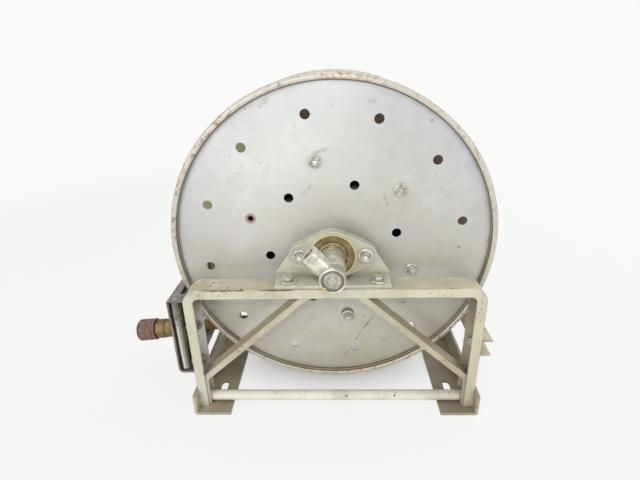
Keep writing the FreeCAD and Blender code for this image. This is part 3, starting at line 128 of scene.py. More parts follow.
def lay_floor():
    mesh = bpy.data.meshes.new("floor")
    corners = [(-1, -1), (1, -1), (1, 1), (-1, 1)]
    mesh.from_pydata([(x * FLOOR_REACH, y * FLOOR_REACH, -FLOOR_DROP) for x, y in corners], [], [(0, 1, 2, 3)])
    floor = add_object("floor", mesh)
    material, tree, surface = new_material("pale floor")
    surface.inputs["Base Color"].default_value = FLOOR_COLOUR
    surface.inputs["Roughness"].default_value = 0.6
    glow = shader_node(tree, "Emission", Color=BACKDROP, Strength=1.0)
    place = shader_node(tree, "TexCoord")
    oval = shader_node(tree, "VectorMath", operation="MULTIPLY")
    oval.inputs[1].default_value = GLOW_OVAL
    under = shader_node(tree, "VectorMath", operation="LENGTH")
    away = shader_node(tree, "VectorMath", operation="LENGTH")
    # Under the reel the glow falls to a lower share: a painted shadow on the floor.
    beside = shader_node(tree, "MapRange", interpolation_type="SMOOTHSTEP", From_Min=0.08,
                         From_Max=0.26, To_Min=GLOW_IN_PAINTED_SHADOW, To_Max=GLOW_BESIDE)
    far = shader_node(tree, "MapRange", interpolation_type="SMOOTHSTEP", From_Min=0.2, From_Max=2.0)
    share = shader_node(tree, "Math", operation="MAXIMUM")
    seen = seen_directly(tree)
    both = shader_node(tree, "Math", operation="MULTIPLY")
    mix = shader_node(tree, "MixShader")
    leave = tree.nodes["Material Output"]
    chain(tree, ((place, "Object"), (away, 0)), ((away, "Value"), (far, "Value")),
          ((place, "Object"), (oval, 0)),
          (oval, (under, 0)), ((under, "Value"), (beside, "Value")), (beside, (share, 0)),
          (far, (share, 1)), (share, (both, 0)), (seen, (both, 1)), (both, (mix, 0)),
          (surface, (mix, 1)), (glow, (mix, 2)), (mix, (leave, "Surface")))
    mesh.materials.append(material)


def area_lamp(name, place, aim, size, power, colour=(1, 1, 1)):
    data = bpy.data.lights.new(name, "AREA")
    data.shape = "RECTANGLE"
    data.size, data.size_y = size
    data.energy = power
    data.color = colour
    lamp = add_object(name, data)
    lamp.location = place
    lamp.rotation_euler = (Vector(aim) - Vector(place)).to_track_quat("-Z", "Y").to_euler()


def light_world():
    world = bpy.data.worlds.new("surround")
    bpy.context.scene.world = world
    world.use_nodes = True
    tree = world.node_tree
    backdrop = tree.nodes["Background"]
    backdrop.inputs["Color"].default_value = BACKDROP
    strength = shader_node(tree, "MapRange", To_Min=ROOM_LIGHT, To_Max=1.0)
    chain(tree, ((seen_directly(tree), 0), (strength, "Value")), (strength, (backdrop, "Strength")))


lay_floor()
light_world()
area_lamp("lamp front left", (-1.4, -2.3, 1.15), (0, 0, 0.28), (1.8, 1.5), 24)
area_lamp("lamp front right", (1.9, -1.4, 0.8), (0.05, 0, 0.25), (1.2, 1.0), 6)
area_lamp("lamp above", (0.3, 0.1, 2.6), (0, 0, 0.2), (1.6, 1.6), 10)
area_lamp("lamp behind", (1.5, 1.8, 1.4), (0, 0, 0.25), (1.4, 1.0), 16, (1, 0.98, 0.95))
area_lamp("lamp by the camera", EYE + up * 0.08, (0, 0, 0.25), (0.05, 0.03), 0.75)

# The two end frames. Each is one length of light steel channel bent to an upside-down U,
# brushed with cream paint that is stained, chipped to rusty specks and rubbed grey where
# the hose and the reel have passed inside the legs. Dirt and painted shade darken its
# corners, its tops and the legs' inner faces below the rail.
CREAM = (0.55, 0.508, 0.378)
CREAM_LIGHT = (0.672, 0.638, 0.508)
CRACK_DARK = (0.07, 0.05, 0.034)
RUBBED_PAINT = (0.62, 0.6, 0.53)
RAIL_DUST_AND_SHADE = (0.455, 0.425, 0.31)
OLIVE_STAIN = (0.33, 0.295, 0.185)
CORNER_DIRT_AND_SHADE = (0.12, 0.095, 0.06)
BROWN_FILM = (0.33, 0.25, 0.165)
RUST = (0.15, 0.062, 0.024)
RUBBED_GREY = (0.78, 0.79, 0.82)
LEG_DIRT_AND_SHADE = (0.27, 0.225, 0.17)
LEG_OLIVE_AND_SHADE = (0.42, 0.395, 0.3)
LEG_INNER_EDGE = 0.19
LEG_OUTER_FACE = 0.2275
FLANGE_BACK = 0.1274
RAIL_UNDERSIDE = 0.206
DIRT_HEIGHTS = (0.125, 0.175)
RUB_HEIGHTS = (0.19, 0.16)
RUST_HEIGHTS = (0.195, 0.215)
RUST_REACH = (-0.06, -0.2)
CRACK_REACH = (-0.19, -0.066)
SPECK_BEND = (0.006, 0.006, 0.006)
RAIL_RUST = (0.26, 0.165, 0.105)
RAIL_EDGE = Vector((0, -0.132, 0.2286))


def new_group(name, inputs, *outputs):
    """A shader node group. Inputs are named with their defaults, outputs are masks or colours."""
    group = bpy.data.node_groups.new(name, "ShaderNodeTree")
    for label, default in inputs.items():
        kind = {3: "Vector", 4: "Color"}[len(default)] if isinstance(default, tuple) else "Float"
        socket = group.interface.new_socket(label, in_out="INPUT", socket_type="NodeSocket" + kind)
        socket.default_value = default
    for label in outputs:
        kind = "Color" if label == "Colour" else "Float"
        group.interface.new_socket(label, in_out="OUTPUT", socket_type="NodeSocket" + kind)
    return group, group.nodes.new("NodeGroupInput"), group.nodes.new("NodeGroupOutput")


def object_noise(tree, **settings):
    """Noise in the row frame."""
    place = shader_node(tree, "TexCoord")
    noise = shader_node(tree, "TexNoise", **settings)
    chain(tree, ((place, "Object"), (noise, "Vector")))
    return noise


def make_edge_wear_and_highlight():
    """Mask of rubbed edges, also used for painted edge highlights: where a rounded normal leaves
    the face's own, broken up by noise.
    """
    group, entry, leave = new_group("edge wear and highlight", {"Radius": 0.0015, "Breakup": 90.0, "Amount": 1.0}, "Mask")
    rounded = shader_node(group, "Bevel", samples=6)
    face = shader_node(group, "NewGeometry")
    dot = shader_node(group, "VectorMath", operation="DOT_PRODUCT")
    noise = object_noise(group, Detail=4.0, Roughness=0.65)
    chain(group, ((entry, "Radius"), (rounded, "Radius")), ((rounded, "Normal"), (dot, 0)),
          ((face, "Normal"), (dot, 1)), ((entry, "Breakup"), (noise, "Scale")))
    turned = graded(dot.outputs["Value"], 0.995, 0.86)
    broken = graded(noise.outputs[0], 0.44, 0.6)
    group.links.new(multiply(turned, broken, entry.outputs["Amount"]), leave.inputs["Mask"])
    return group


def make_specks():
    """Mask of small ragged specks, gathered in patches."""
    group, entry, leave = new_group("specks", {"Scale": 160.0, "Size": 0.16, "Patches": 9.0, "Cover": 0.5},
                                    "Mask")
    place = shader_node(group, "TexCoord")
    bend = object_noise(group, Scale=420.0, Detail=3.0)
    shift = shader_node(group, "VectorMath", operation="MULTIPLY_ADD")
    shift.inputs[1].default_value = SPECK_BEND
    cells = shader_node(group, "TexVoronoi")
    small = shader_node(group, "Math", operation="LESS_THAN")
    patches = object_noise(group, Detail=3.0)
    cover = shader_node(group, "Math", operation="GREATER_THAN")
    chain(group, ((bend, "Color"), (shift, 0)), ((place, "Object"), (shift, 2)), (shift, (cells, "Vector")),
          ((entry, "Scale"), (cells, "Scale")), ((cells, "Distance"), (small, 0)),
          ((entry, "Size"), (small, 1)), ((entry, "Patches"), (patches, "Scale")), (patches, (cover, 0)),
          ((entry, "Cover"), (cover, 1)))
    group.links.new(multiply(small.outputs[0], cover.outputs[0]), leave.inputs["Mask"])
    return group


def make_clouds():
    """Soft patches between two colours, drawn out along one axis by the stretch."""
    inputs = {"Colour": (1, 1, 1, 1), "Other": (0, 0, 0, 1), "Scale": 8.0, "Low": 0.4, "High": 0.65,
              "Stretch": (1, 1, 1)}
    group, entry, leave = new_group("clouds", inputs, "Colour", "Mask")
    place = shader_node(group, "TexCoord")
    stretch = shader_node(group, "VectorMath", operation="MULTIPLY")
    noise = shader_node(group, "TexNoise", Detail=6.0, Roughness=0.6)
    limits = shader_node(group, "MapRange")
    mix = shader_node(group, "Mix", data_type="RGBA")
    chain(group, ((place, "Object"), (stretch, 0)), ((entry, "Stretch"), (stretch, 1)),
          (stretch, (noise, "Vector")), ((entry, "Scale"), (noise, "Scale")), (noise, (limits, "Value")),
          ((entry, "Low"), (limits, "From Min")), ((entry, "High"), (limits, "From Max")), (limits, (mix, 0)),
          ((entry, "Colour"), (mix, 6)), ((entry, "Other"), (mix, 7)), ((mix, 2), (leave, "Colour")),
          (limits, (leave, "Mask")))
    return group


def make_crevice_dirt_and_shade():
    """Mask of inner corners and narrow places, where dirt gathers and shade is painted, with a ragged edge."""
    group, entry, leave = new_group("crevice dirt and shade", {"Reach": 0.012, "Ragged": 70.0}, "Mask")
    open_sky = shader_node(group, "AmbientOcclusion", samples=5)
    noise = object_noise(group, Detail=4.0, Roughness=0.6)
    chain(group, ((entry, "Reach"), (open_sky, "Distance")), ((entry, "Ragged"), (noise, "Scale")))
    closed = graded(open_sky.outputs["AO"], 0.92, 0.38)
    ragged = graded(noise.outputs[0], 0.34, 0.62, 0.35)
    group.links.new(multiply(closed, ragged), leave.inputs["Mask"])
    return group


def make_settled_dust_and_shade():
    """Mask of faces turned up, where dust and oil settle in patches.
    On the frame it also carries painted shade on the tops.
    """
    group, entry, leave = new_group("settled dust and top shade", {"Scale": 14.0}, "Mask")
    face = shader_node(group, "NewGeometry")
    split = shader_node(group, "SeparateXYZ")
    noise = object_noise(group, Detail=5.0, Roughness=0.6)
    chain(group, ((face, "Normal"), (split, 0)), ((entry, "Scale"), (noise, "Scale")))
    turned_up = graded(split.outputs["Z"], 0.3, 0.75)
    patches = graded(noise.outputs[0], 0.34, 0.62, 0.45)
    group.links.new(multiply(turned_up, patches), leave.inputs["Mask"])
    return group


def add_group(tree, group, **values):
    made = tree.nodes.new("ShaderNodeGroup")
    made.node_tree = group
    for name, setting in values.items():
        if name in ("Colour", "Other"):
            setting = setting + (1,)
        made.inputs[name].default_value = setting
    return made


def mask_from(tree, group, **values):
    return add_group(tree, group, **values).outputs["Mask"]


def cover_colour(base, mask, colour, share):
    """Lay a colour over a colour output where the mask says."""
    tree = base.id_data
    mix = shader_node(tree, "Mix", data_type="RGBA")
    mix.inputs[7].default_value = colour + (1,)
    part = shader_node(tree, "Math", operation="MULTIPLY", use_clamp=True)
    part.inputs[1].default_value = share
    tree.links.new(mask, part.inputs[0])
    tree.links.new(part.outputs[0], mix.inputs[0])
    tree.links.new(base, mix.inputs[6])
    return mix.outputs[2]


def layer(base, colour, share, group, **values):
    """Lay a colour over a colour output where a mask group says."""
    return cover_colour(base, mask_from(base.id_data, group, **values), colour, share)


def multiply(*masks):
    """The product of two or more masks."""
    result = masks[0]
    tree = result.id_data
    for mask in masks[1:]:
        product = shader_node(tree, "Math", operation="MULTIPLY", use_clamp=True)
        tree.links.new(result, product.inputs[0])
        tree.links.new(mask, product.inputs[1])
        result = product.outputs[0]
    return result


def set_surface(surface, colour, **settings):
    """Give a Principled surface its colour, and plain values for other sockets."""
    surface.id_data.links.new(colour, surface.inputs["Base Color"])
    for name, setting in settings.items():
        surface.inputs[name.replace("_", " ")].default_value = setting


def grain_normal(surface, scale, strength, rounding=0.0, height=None):
    """Bump from fine noise, or from another height, over softly rounded edges."""
    tree = surface.id_data
    bump = shader_node(tree, "Bump", Strength=strength, Distance=0.0006)
    if height is None:
        height = object_noise(tree, Scale=scale, Detail=3.0).outputs[0]
    tree.links.new(height, bump.inputs["Height"])
    if rounding:
        rounded = shader_node(tree, "Bevel", samples=6)
        rounded.inputs["Radius"].default_value = rounding
        tree.links.new(rounded.outputs["Normal"], bump.inputs["Normal"])
    tree.links.new(bump.outputs["Normal"], surface.inputs["Normal"])


def vary_gloss(surface, mask, low, high):
    """Roughness that runs from low to high with a mask."""
    tree = surface.id_data
    gloss = shader_node(tree, "MapRange", To_Min=low, To_Max=high)
    tree.links.new(mask, gloss.inputs["Value"])
    tree.links.new(gloss.outputs[0], surface.inputs["Roughness"])


def object_axis(tree, axis):
    """One coordinate in the row frame."""
    place = shader_node(tree, "TexCoord")
    split = shader_node(tree, "SeparateXYZ")
    tree.links.new(place.outputs["Object"], split.inputs[0])
    return split.outputs[axis]


def graded(value, low, high, least=0.0):
    """A mask that runs from the least at one value to 1 at another."""
    tree = value.id_data
    limits = shader_node(tree, "MapRange", From_Min=low, From_Max=high, To_Min=least)
    tree.links.new(value, limits.inputs["Value"])
    return limits.outputs[0]


def band_mask(value, low, high, soft=0.0015):
    """1 between two limits of a value and 0 outside, with soft edges."""
    return multiply(graded(value, low - soft, low), graded(value, high + soft, high))


def size_of(value):
    """A value without its sign."""
    tree = value.id_data
    plain = shader_node(tree, "Math", operation="ABSOLUTE")
    tree.links.new(value, plain.inputs[0])
    return plain.outputs[0]


EDGE_WEAR_AND_HIGHLIGHT = make_edge_wear_and_highlight()
SPECKS = make_specks()
CLOUDS = make_clouds()
CREVICE_DIRT_AND_SHADE = make_crevice_dirt_and_shade()
SETTLED_DUST_AND_SHADE = make_settled_dust_and_shade()


def inside_legs(tree):
    """Mask of the legs' channel behind its front flange, without its outer face."""
    across = band_mask(size_of(object_axis(tree, "X")), LEG_INNER_EDGE, LEG_OUTER_FACE, 0.0003)
    return multiply(across, graded(size_of(object_axis(tree, "Y")), FLANGE_BACK + 0.0002, FLANGE_BACK - 0.0002))


def leg_wear_and_shade(colour):
    """Dirt and painted shade on the legs' inner faces below the rail, olive on the right ones and
    darker high up, and blue grey rubbing where the hose passes the left ones.
    """
    tree = colour.id_data
    inner = inside_legs(tree)
    height = object_axis(tree, "Z")
    across = object_axis(tree, "X")
    patches = mask_from(tree, CLOUDS, Scale=24.0, Low=0.3, High=0.52, Stretch=(1.0, 1.0, 0.35))
    shaded = multiply(inner, graded(height, RAIL_UNDERSIDE, RAIL_UNDERSIDE - 0.01))
    # Painted shade with dirt below the rail: olive on the right legs, darker high up on all of them.
    colour = cover_colour(colour, multiply(shaded, graded(across, 0.0, 0.01)), LEG_OLIVE_AND_SHADE, 0.75)
    colour = cover_colour(colour, multiply(shaded, graded(height, *DIRT_HEIGHTS)), LEG_DIRT_AND_SHADE, 0.8)
    left = multiply(shaded, patches, graded(height, *RUB_HEIGHTS), graded(across, 0.0, -0.01))
    return cover_colour(colour, left, RUBBED_GREY, 0.9)


def rail_rust(colour):
    """Ragged rusty chips on the left half of the rail, thickest at its front edge and corner."""
    tree = colour.id_data
    near = graded(object_axis(tree, "X"), *RUST_REACH)
    high = graded(object_axis(tree, "Z"), *RUST_HEIGHTS)
    patches = mask_from(tree, CLOUDS, Scale=26.0, Low=0.46, High=0.6)
    chips = mask_from(tree, CLOUDS, Scale=120.0, Low=0.53, High=0.58)
    return cover_colour(colour, multiply(patches, chips, near, high), RAIL_RUST, 0.85)


def rail_crack(colour):
    """The paint has cracked off along the left half of the rail's front top edge."""
    tree = colour.id_data
    height = band_mask(object_axis(tree, "Z"), RAIL_EDGE.z - 0.0012, RAIL_EDGE.z + 0.0004, 0.0004)
    depth = graded(object_axis(tree, "Y"), RAIL_EDGE.y + 0.0024, RAIL_EDGE.y + 0.0014)
    along = band_mask(object_axis(tree, "X"), *CRACK_REACH, 0.012)
    broken = mask_from(tree, CLOUDS, Scale=34.0, Low=0.4, High=0.5, Stretch=(1.0, 0.2, 0.2))
    return cover_colour(colour, multiply(height, depth, along, broken), CRACK_DARK, 0.95)


def brushed_cream(name, light, dark, dust_and_shade_colour, dust_and_shade, rubbed=False):
    """Old brushed paint: clouds, stains, dirt and painted shade in corners and on top, specks,
    rusty edge chips.
    """
    material, tree, surface = new_material(name)
    paint = add_group(tree, CLOUDS, Colour=light, Other=dark, Scale=7.0, Low=0.36, High=0.66)
    stain = mask_from(tree, CLOUDS, Scale=16.0, Low=0.5, High=0.78, Stretch=(1.0, 1.0, 0.6))
    colour = cover_colour(paint.outputs["Colour"], stain, OLIVE_STAIN, 0.65)
    colour = layer(colour, BROWN_FILM, 0.3, CLOUDS, Scale=70.0, Low=0.56, High=0.74, Stretch=(1.0, 1.0, 0.3))
    # Dust on the faces turned up, and painted shade darkening those tops.
    colour = layer(colour, dust_and_shade_colour, dust_and_shade, SETTLED_DUST_AND_SHADE, Scale=13.0)
    # Dirt and painted shade darken the corners.
    colour = layer(colour, CORNER_DIRT_AND_SHADE, 0.5, CREVICE_DIRT_AND_SHADE, Reach=0.014, Ragged=60.0)
    if rubbed:
        colour = leg_wear_and_shade(colour)
    colour = layer(colour, RUST, 0.7, SPECKS, Scale=150.0, Size=0.17, Patches=14.0, Cover=0.53)
    colour = layer(colour, RUST, 0.85, SPECKS, Scale=62.0, Size=0.13, Patches=11.0, Cover=0.56)
    colour = layer(colour, RUBBED_PAINT, 0.8, EDGE_WEAR_AND_HIGHLIGHT, Radius=0.0016, Breakup=120.0, Amount=1.0)
    chips = mask_from(tree, EDGE_WEAR_AND_HIGHLIGHT, Radius=0.0022, Breakup=38.0, Amount=1.3)
    rusty = mask_from(tree, CLOUDS, Scale=21.0, Low=0.46, High=0.56)
    colour = cover_colour(colour, multiply(chips, rusty), RUST, 0.85)
    if rubbed:
        colour = rail_rust(colour)
        colour = rail_crack(colour)
    set_surface(surface, colour, Specular_IOR_Level=0.45)
    vary_gloss(surface, stain, 0.38, 0.66)
    grain_normal(surface, 260.0, 0.2, 0.0009)
    return material


def dress(material, *names):
    """Give CAD nodes a finish."""
    for name in names:
        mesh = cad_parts[name].data
        mesh.materials.clear()
        mesh.materials.append(material)


end_frame_paint = brushed_cream("end frame paint", CREAM_LIGHT, CREAM, RAIL_DUST_AND_SHADE, 0.5, True)
dress(end_frame_paint, "end_frame_front", "end_frame_rear")

# Braces and cross tubes. A lighter channel is bent into a trapezium and welded inside each
# end frame, and a steel tube ties its feet. Same paint, with more dirt and painted shade on the
# sloping tops.
BRACE_DUST_AND_SHADE = (0.38, 0.34, 0.215)
BRACE_PALE = (0.61, 0.575, 0.445)
BRACE_DARK = (0.44, 0.4, 0.275)
TUBE_DUST = (0.68, 0.655, 0.54)
TUBE_DARK = (0.74, 0.715, 0.61)
TUBE_PALE = (0.86, 0.84, 0.76)
brace_paint = brushed_cream("brace paint", BRACE_PALE, BRACE_DARK, BRACE_DUST_AND_SHADE, 0.75)
dress(brace_paint, "brace_front", "brace_rear")
tube_paint = brushed_cream("cross tube paint", TUBE_PALE, TUBE_DARK, TUBE_DUST, 0.2)
dress(tube_paint, "cross_tube_front", "cross_tube_rear")

# Base angles and the spacer channel. Rolled steel angle under each pair of legs, slotted for
# floor bolts, and a short channel bolted to the right legs. The paint is almost gone under
# dirt and oil, and the faces turned up carry painted shade.
ANGLE_OLIVE = (0.6, 0.545, 0.4)
ANGLE_DARK = (0.34, 0.3, 0.21)
ANGLE_DIRT_AND_SHADE = (0.2, 0.168, 0.112)
angle_paint = brushed_cream("dirty angle paint with painted shade", ANGLE_OLIVE, ANGLE_DARK, ANGLE_DIRT_AND_SHADE, 0.6)
dress(angle_paint, "base_angle_left", "base_angle_right")
spacer_paint = brushed_cream("spacer paint", CREAM, ANGLE_OLIVE, ANGLE_DIRT_AND_SHADE, 0.4)
dress(spacer_paint, "spacer_channel")

# Side discs, drum shell and spring case. Pressed sheet steel with a rolled rim, sprayed a pale
# silver grey that has gone cloudy, with warm stains and painted warm shade low down, painted shade
# toward the middle, a painted highlight at the upper left, a painted cool reflection high up, and
# brown rust and painted shade in the rim's crevice. The faces that look at the hose are dull with
# rust and rubber dust, darkened as painted shade, with painted light on their left side.
SILVER = (0.54, 0.53, 0.495)
SILVER_BRIGHT = (0.63, 0.622, 0.592)
SILVER_DULL_AND_SHADE = (0.46, 0.45, 0.405)
WARM_STAIN_AND_SHADE = (0.44, 0.4, 0.295)
BEAD_CREAM = (0.6, 0.56, 0.46)
CREVICE_BROWN = (0.085, 0.066, 0.046)
CHIP_BROWN = (0.27, 0.205, 0.125)
COOL_REFLECTION = (0.52, 0.555, 0.64)
STAIN_GREY = (0.095, 0.1, 0.092)
SPOT_BROWN = (0.15, 0.115, 0.08)
SMUDGE_BROWN = (0.2, 0.15, 0.095)
SPECK_BROWN = (0.25, 0.19, 0.13)
SHEET_DIRT_AND_SHADE = (0.19, 0.16, 0.11)
PALE_HIGHLIGHT = (0.8, 0.79, 0.76)
DISC_RUST = (0.165, 0.086, 0.038)
SCRATCHES = (((0.068, 0.141), (0.0385, 0.093), 0.0013, 0.8),
             ((0.15, 0.39), (0.166, 0.356), 0.0005, 0.6),
             ((0.02, 0.0612), (0.0272, 0.0694), 0.0013, 0.75),
             ((-0.023, 0.4175), (-0.0075, 0.423), 0.0034, 0.45),
             ((-0.0412, 0.3585), (-0.031, 0.3692), 0.004, 0.32),
             ((0.0772, 0.3525), (0.083, 0.337), 0.0034, 0.3),
             ((-0.098, 0.4838), (-0.088, 0.4942), 0.0044, 0.45),
             ((0.0528, 0.4858), (0.0665, 0.4884), 0.004, 0.32),
             ((0.1375, 0.4715), (0.1466, 0.465), 0.0018, 0.6))
SCRATCH_WANDER = 0.004
SCUFF_WIDTH = 0.003
SCUFF_BROWN = (0.27, 0.19, 0.12)
SCRATCH_GREY = (0.16, 0.13, 0.095)
SPOTS = ((0.0509, 0.1397, 0.0016), (0.0214, 0.1024, 0.0014), (0.0092, 0.1194, 0.0017), (0.0887, 0.0934, 0.0013),
         (-0.148, 0.416, 0.0012), (0.104, 0.324, 0.001), (-0.05, 0.456, 0.0008))
PALE_HIGHLIGHT_CENTRE = Vector((-0.11, 0, 0.43))
PALE_HIGHLIGHT_REACH = (0.19, 0.04)
LOW_BOLT_STAIN = Vector((0.0234, 0, 0.1465))
LOW_BOLT_STAIN_RADIUS = 0.0105
INSIDE_RUST_AND_SHADE = (0.11, 0.078, 0.052)
INSIDE_WORN = (0.3, 0.27, 0.2)
INSIDE_DUSTY = (0.19, 0.145, 0.1)
INSIDE_LIT_OLIVE = (0.43, 0.4, 0.275)
LIT_SIDE_REACH = (-0.06, -0.15)
HOLE_RUST = (0.33, 0.19, 0.13)
SHEET_WALL = 0.002
BEAD_WIDTH = 0.0107
TIE_CIRCLE = 0.1341
EMPTY_TIE_ANGLE = math.radians(160.32)
EMPTY_TIE_RING = 0.0078
front_low, front_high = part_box("disc_front")
RIM = (front_high.x - front_low.x) / 2
AXLE = Vector((0, 0, (front_low.z + front_high.z) / 2))
INNER_FACE = front_high.y


def radius_value(tree, centre):
    """Distance from a line along Y through a centre, in metres."""
    place = shader_node(tree, "TexCoord")
    offset = shader_node(tree, "VectorMath", operation="SUBTRACT")
    offset.inputs[1].default_value = centre
    flatten = shader_node(tree, "VectorMath", operation="MULTIPLY")
    flatten.inputs[1].default_value = (1, 0, 1)
    length = shader_node(tree, "VectorMath", operation="LENGTH")
    chain(tree, ((place, "Object"), (offset, 0)), (offset, (flatten, 0)), (flatten, (length, 0)))
    return length.outputs["Value"]


def scratch_mask(tree, start, finish, width):
    """A thin broken line across the discs' faces, from one (x, z) to another."""
    along = Vector((finish[0] - start[0], 0, finish[1] - start[1]))
    length = along.length
    along.normalize()
    across = Vector((along.z, 0, -along.x))
    place = shader_node(tree, "TexCoord")
    wander = object_noise(tree, Scale=40.0, Detail=2.0)
    bent = shader_node(tree, "VectorMath", operation="MULTIPLY_ADD")
    bent.inputs[1].default_value = (SCRATCH_WANDER, 0.0, SCRATCH_WANDER)
    offset = shader_node(tree, "VectorMath", operation="SUBTRACT")
    offset.inputs[1].default_value = (start[0] + SCRATCH_WANDER / 2, 0, start[1] + SCRATCH_WANDER / 2)
    travel = shader_node(tree, "VectorMath", operation="DOT_PRODUCT")
    travel.inputs[1].default_value = along
    side = shader_node(tree, "VectorMath", operation="DOT_PRODUCT")
    side.inputs[1].default_value = across
    chain(tree, ((wander, "Color"), (bent, 0)), ((place, "Object"), (bent, 2)), (bent, (offset, 0)),
          (offset, (travel, 0)), (offset, (side, 0)))
    line = band_mask(side.outputs["Value"], -width / 2, width / 2, width / 2)
    ends = band_mask(travel.outputs["Value"], 0.0, length, 0.004)
    broken = mask_from(tree, CLOUDS, Scale=110.0, Low=0.38, High=0.54)
    return multiply(line, ends, broken)


def silver_sheet(name):
    material, tree, surface = new_material(name)
    height = object_axis(tree, "Z")
    depth = object_axis(tree, "Y")
    radius = radius_value(tree, AXLE)
    paint = add_group(tree, CLOUDS, Colour=SILVER_BRIGHT, Other=SILVER, Scale=4.0, Low=0.38, High=0.58)
    dull = mask_from(tree, CLOUDS, Scale=7.0, Low=0.5, High=0.8, Stretch=(0.8, 1.0, 1.2))
    colour = cover_colour(paint.outputs["Colour"], dull, SILVER_DULL_AND_SHADE, 0.6)
    mottle = mask_from(tree, CLOUDS, Scale=55.0, Low=0.44, High=0.64)
    colour = cover_colour(colour, mottle, SILVER_DULL_AND_SHADE, 0.4)
    # A painted highlight, pale toward the upper left.
    upper_left_highlight = graded(radius_value(tree, PALE_HIGHLIGHT_CENTRE), *PALE_HIGHLIGHT_REACH)
    colour = cover_colour(colour, multiply(upper_left_highlight, mottle), PALE_HIGHLIGHT, 0.5)
    colour = cover_colour(colour, upper_left_highlight, PALE_HIGHLIGHT, 0.5)
    # Warm stains in patches, heavier low down, where they also stand for painted warm shade.
    stain = mask_from(tree, CLOUDS, Scale=5.0, Low=0.25, High=0.6)
    low_down_shade = graded(height, AXLE.z + 0.02, AXLE.z - RIM * 0.7)
    colour = cover_colour(colour, multiply(stain, low_down_shade), WARM_STAIN_AND_SHADE, 0.6)
    # Painted shade: duller toward the middle.
    colour = cover_colour(colour, graded(radius, RIM * 0.62, RIM * 0.3), SILVER_DULL_AND_SHADE, 0.4)
    colour = layer(colour, WARM_STAIN_AND_SHADE, 0.35, CLOUDS, Scale=11.0, Low=0.6, High=0.8, Stretch=(1.4, 1.0, 0.5))
    # Dirt and painted shade in corners and round the bolts.
    colour = layer(colour, SHEET_DIRT_AND_SHADE, 0.75, CREVICE_DIRT_AND_SHADE, Reach=0.009, Ragged=45.0)
    colour = layer(colour, SPECK_BROWN, 0.6, SPECKS, Scale=80.0, Size=0.09, Patches=7.0, Cover=0.56)
    colour = layer(colour, SMUDGE_BROWN, 0.7, SPECKS, Scale=24.0, Size=0.065, Patches=4.0, Cover=0.5)
    front = graded(depth, 0.0, INNER_FACE)
    for start, finish, width, share in SCRATCHES:
        scratch = multiply(scratch_mask(tree, start, finish, width), front)
        colour = cover_colour(colour, scratch, SCUFF_BROWN if width > SCUFF_WIDTH else SCRATCH_GREY, share)
    for across, up_by, reach in SPOTS:
        spot = graded(radius_value(tree, Vector((across, 0, up_by))), reach, reach * 0.6)
        colour = cover_colour(colour, multiply(spot, front), SPOT_BROWN, 0.8)
    stained = graded(radius_value(tree, LOW_BOLT_STAIN), LOW_BOLT_STAIN_RADIUS + 0.001,
                     LOW_BOLT_STAIN_RADIUS - 0.001)
    stained = multiply(stained, graded(depth, INNER_FACE, INNER_FACE - SHEET_WALL))
    colour = cover_colour(colour, stained, STAIN_GREY, 0.85)
    # A painted cool reflection over the upper outer part of the face.
    cool_reflection = multiply(graded(radius, RIM * 0.62, RIM * 0.95), graded(height, AXLE.z, AXLE.z + 0.12))
    colour = cover_colour(colour, cool_reflection, COOL_REFLECTION, 0.35)
    bead = band_mask(radius, RIM - BEAD_WIDTH + 0.0018, RIM + 0.01, 0.0003)
    colour = cover_colour(colour, bead, BEAD_CREAM, 0.85)
    chips = mask_from(tree, CLOUDS, Scale=170.0, Low=0.52, High=0.6)
    patches = mask_from(tree, CLOUDS, Scale=9.0, Low=0.38, High=0.58)
    colour = cover_colour(colour, multiply(chips, patches, bead), CHIP_BROWN, 0.8)
    # A dark line in the crevice inside the bead: painted shade, with brown rust in patches.
    crevice = band_mask(radius, RIM - BEAD_WIDTH + 0.0004, RIM - BEAD_WIDTH + 0.0016, 0.0003)
    uneven = mask_from(tree, CLOUDS, Scale=12.0, Low=0.35, High=0.6)
    colour = cover_colour(colour, crevice, CREVICE_BROWN, 0.8)
    colour = cover_colour(colour, multiply(crevice, uneven), DISC_RUST, 0.85)
    empty_tie = AXLE + Vector((math.cos(EMPTY_TIE_ANGLE), 0, math.sin(EMPTY_TIE_ANGLE))) * TIE_CIRCLE
    ring = graded(radius_value(tree, empty_tie), EMPTY_TIE_RING + 0.0009, EMPTY_TIE_RING)
    ring = multiply(ring, graded(depth, INNER_FACE - SHEET_WALL / 2, INNER_FACE - SHEET_WALL))
    colour = cover_colour(colour, ring, HOLE_RUST, 0.85)
    set_surface(surface, colour, Metallic=0.2)
    vary_gloss(surface, dull, 0.34, 0.5)
    grain_normal(surface, 420.0, 0.14, 0.0006)
    return material


def inside_of_reel(name):
    """The hose side of the discs and the drum: rust and rubber dust, dark as painted shade, and
    lighter on the left side as painted light.
    """
    material, tree, surface = new_material(name)
    # Dark brown for rust and painted shade, in patches with rubber dust.
    paint = add_group(tree, CLOUDS, Colour=INSIDE_RUST_AND_SHADE, Other=INSIDE_DUSTY, Scale=24.0, Low=0.4, High=0.7)
    # Painted light: paler olive toward the left side.
    lit_side = graded(object_axis(tree, "X"), *LIT_SIDE_REACH)
    colour = cover_colour(paint.outputs["Colour"], lit_side, INSIDE_LIT_OLIVE, 0.9)
    colour = layer(colour, INSIDE_WORN, 0.5, CLOUDS, Scale=14.0, Low=0.6, High=0.72)
    set_surface(surface, colour, Roughness=0.7)
    grain_normal(surface, 300.0, 0.25)
    return material


def dress_inside(outer, inner, *names):
    """Two finishes on a disc: faces on the hose side of the sheet take the second."""
    dress(outer, *names)
    for name in names:
        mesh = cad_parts[name].data
        mesh.materials.append(inner)
        for face in mesh.polygons:
            if abs(face.center.y) < abs(INNER_FACE) + SHEET_WALL / 4 and face.center.y * face.normal.y < 0:
                face.material_index = 1


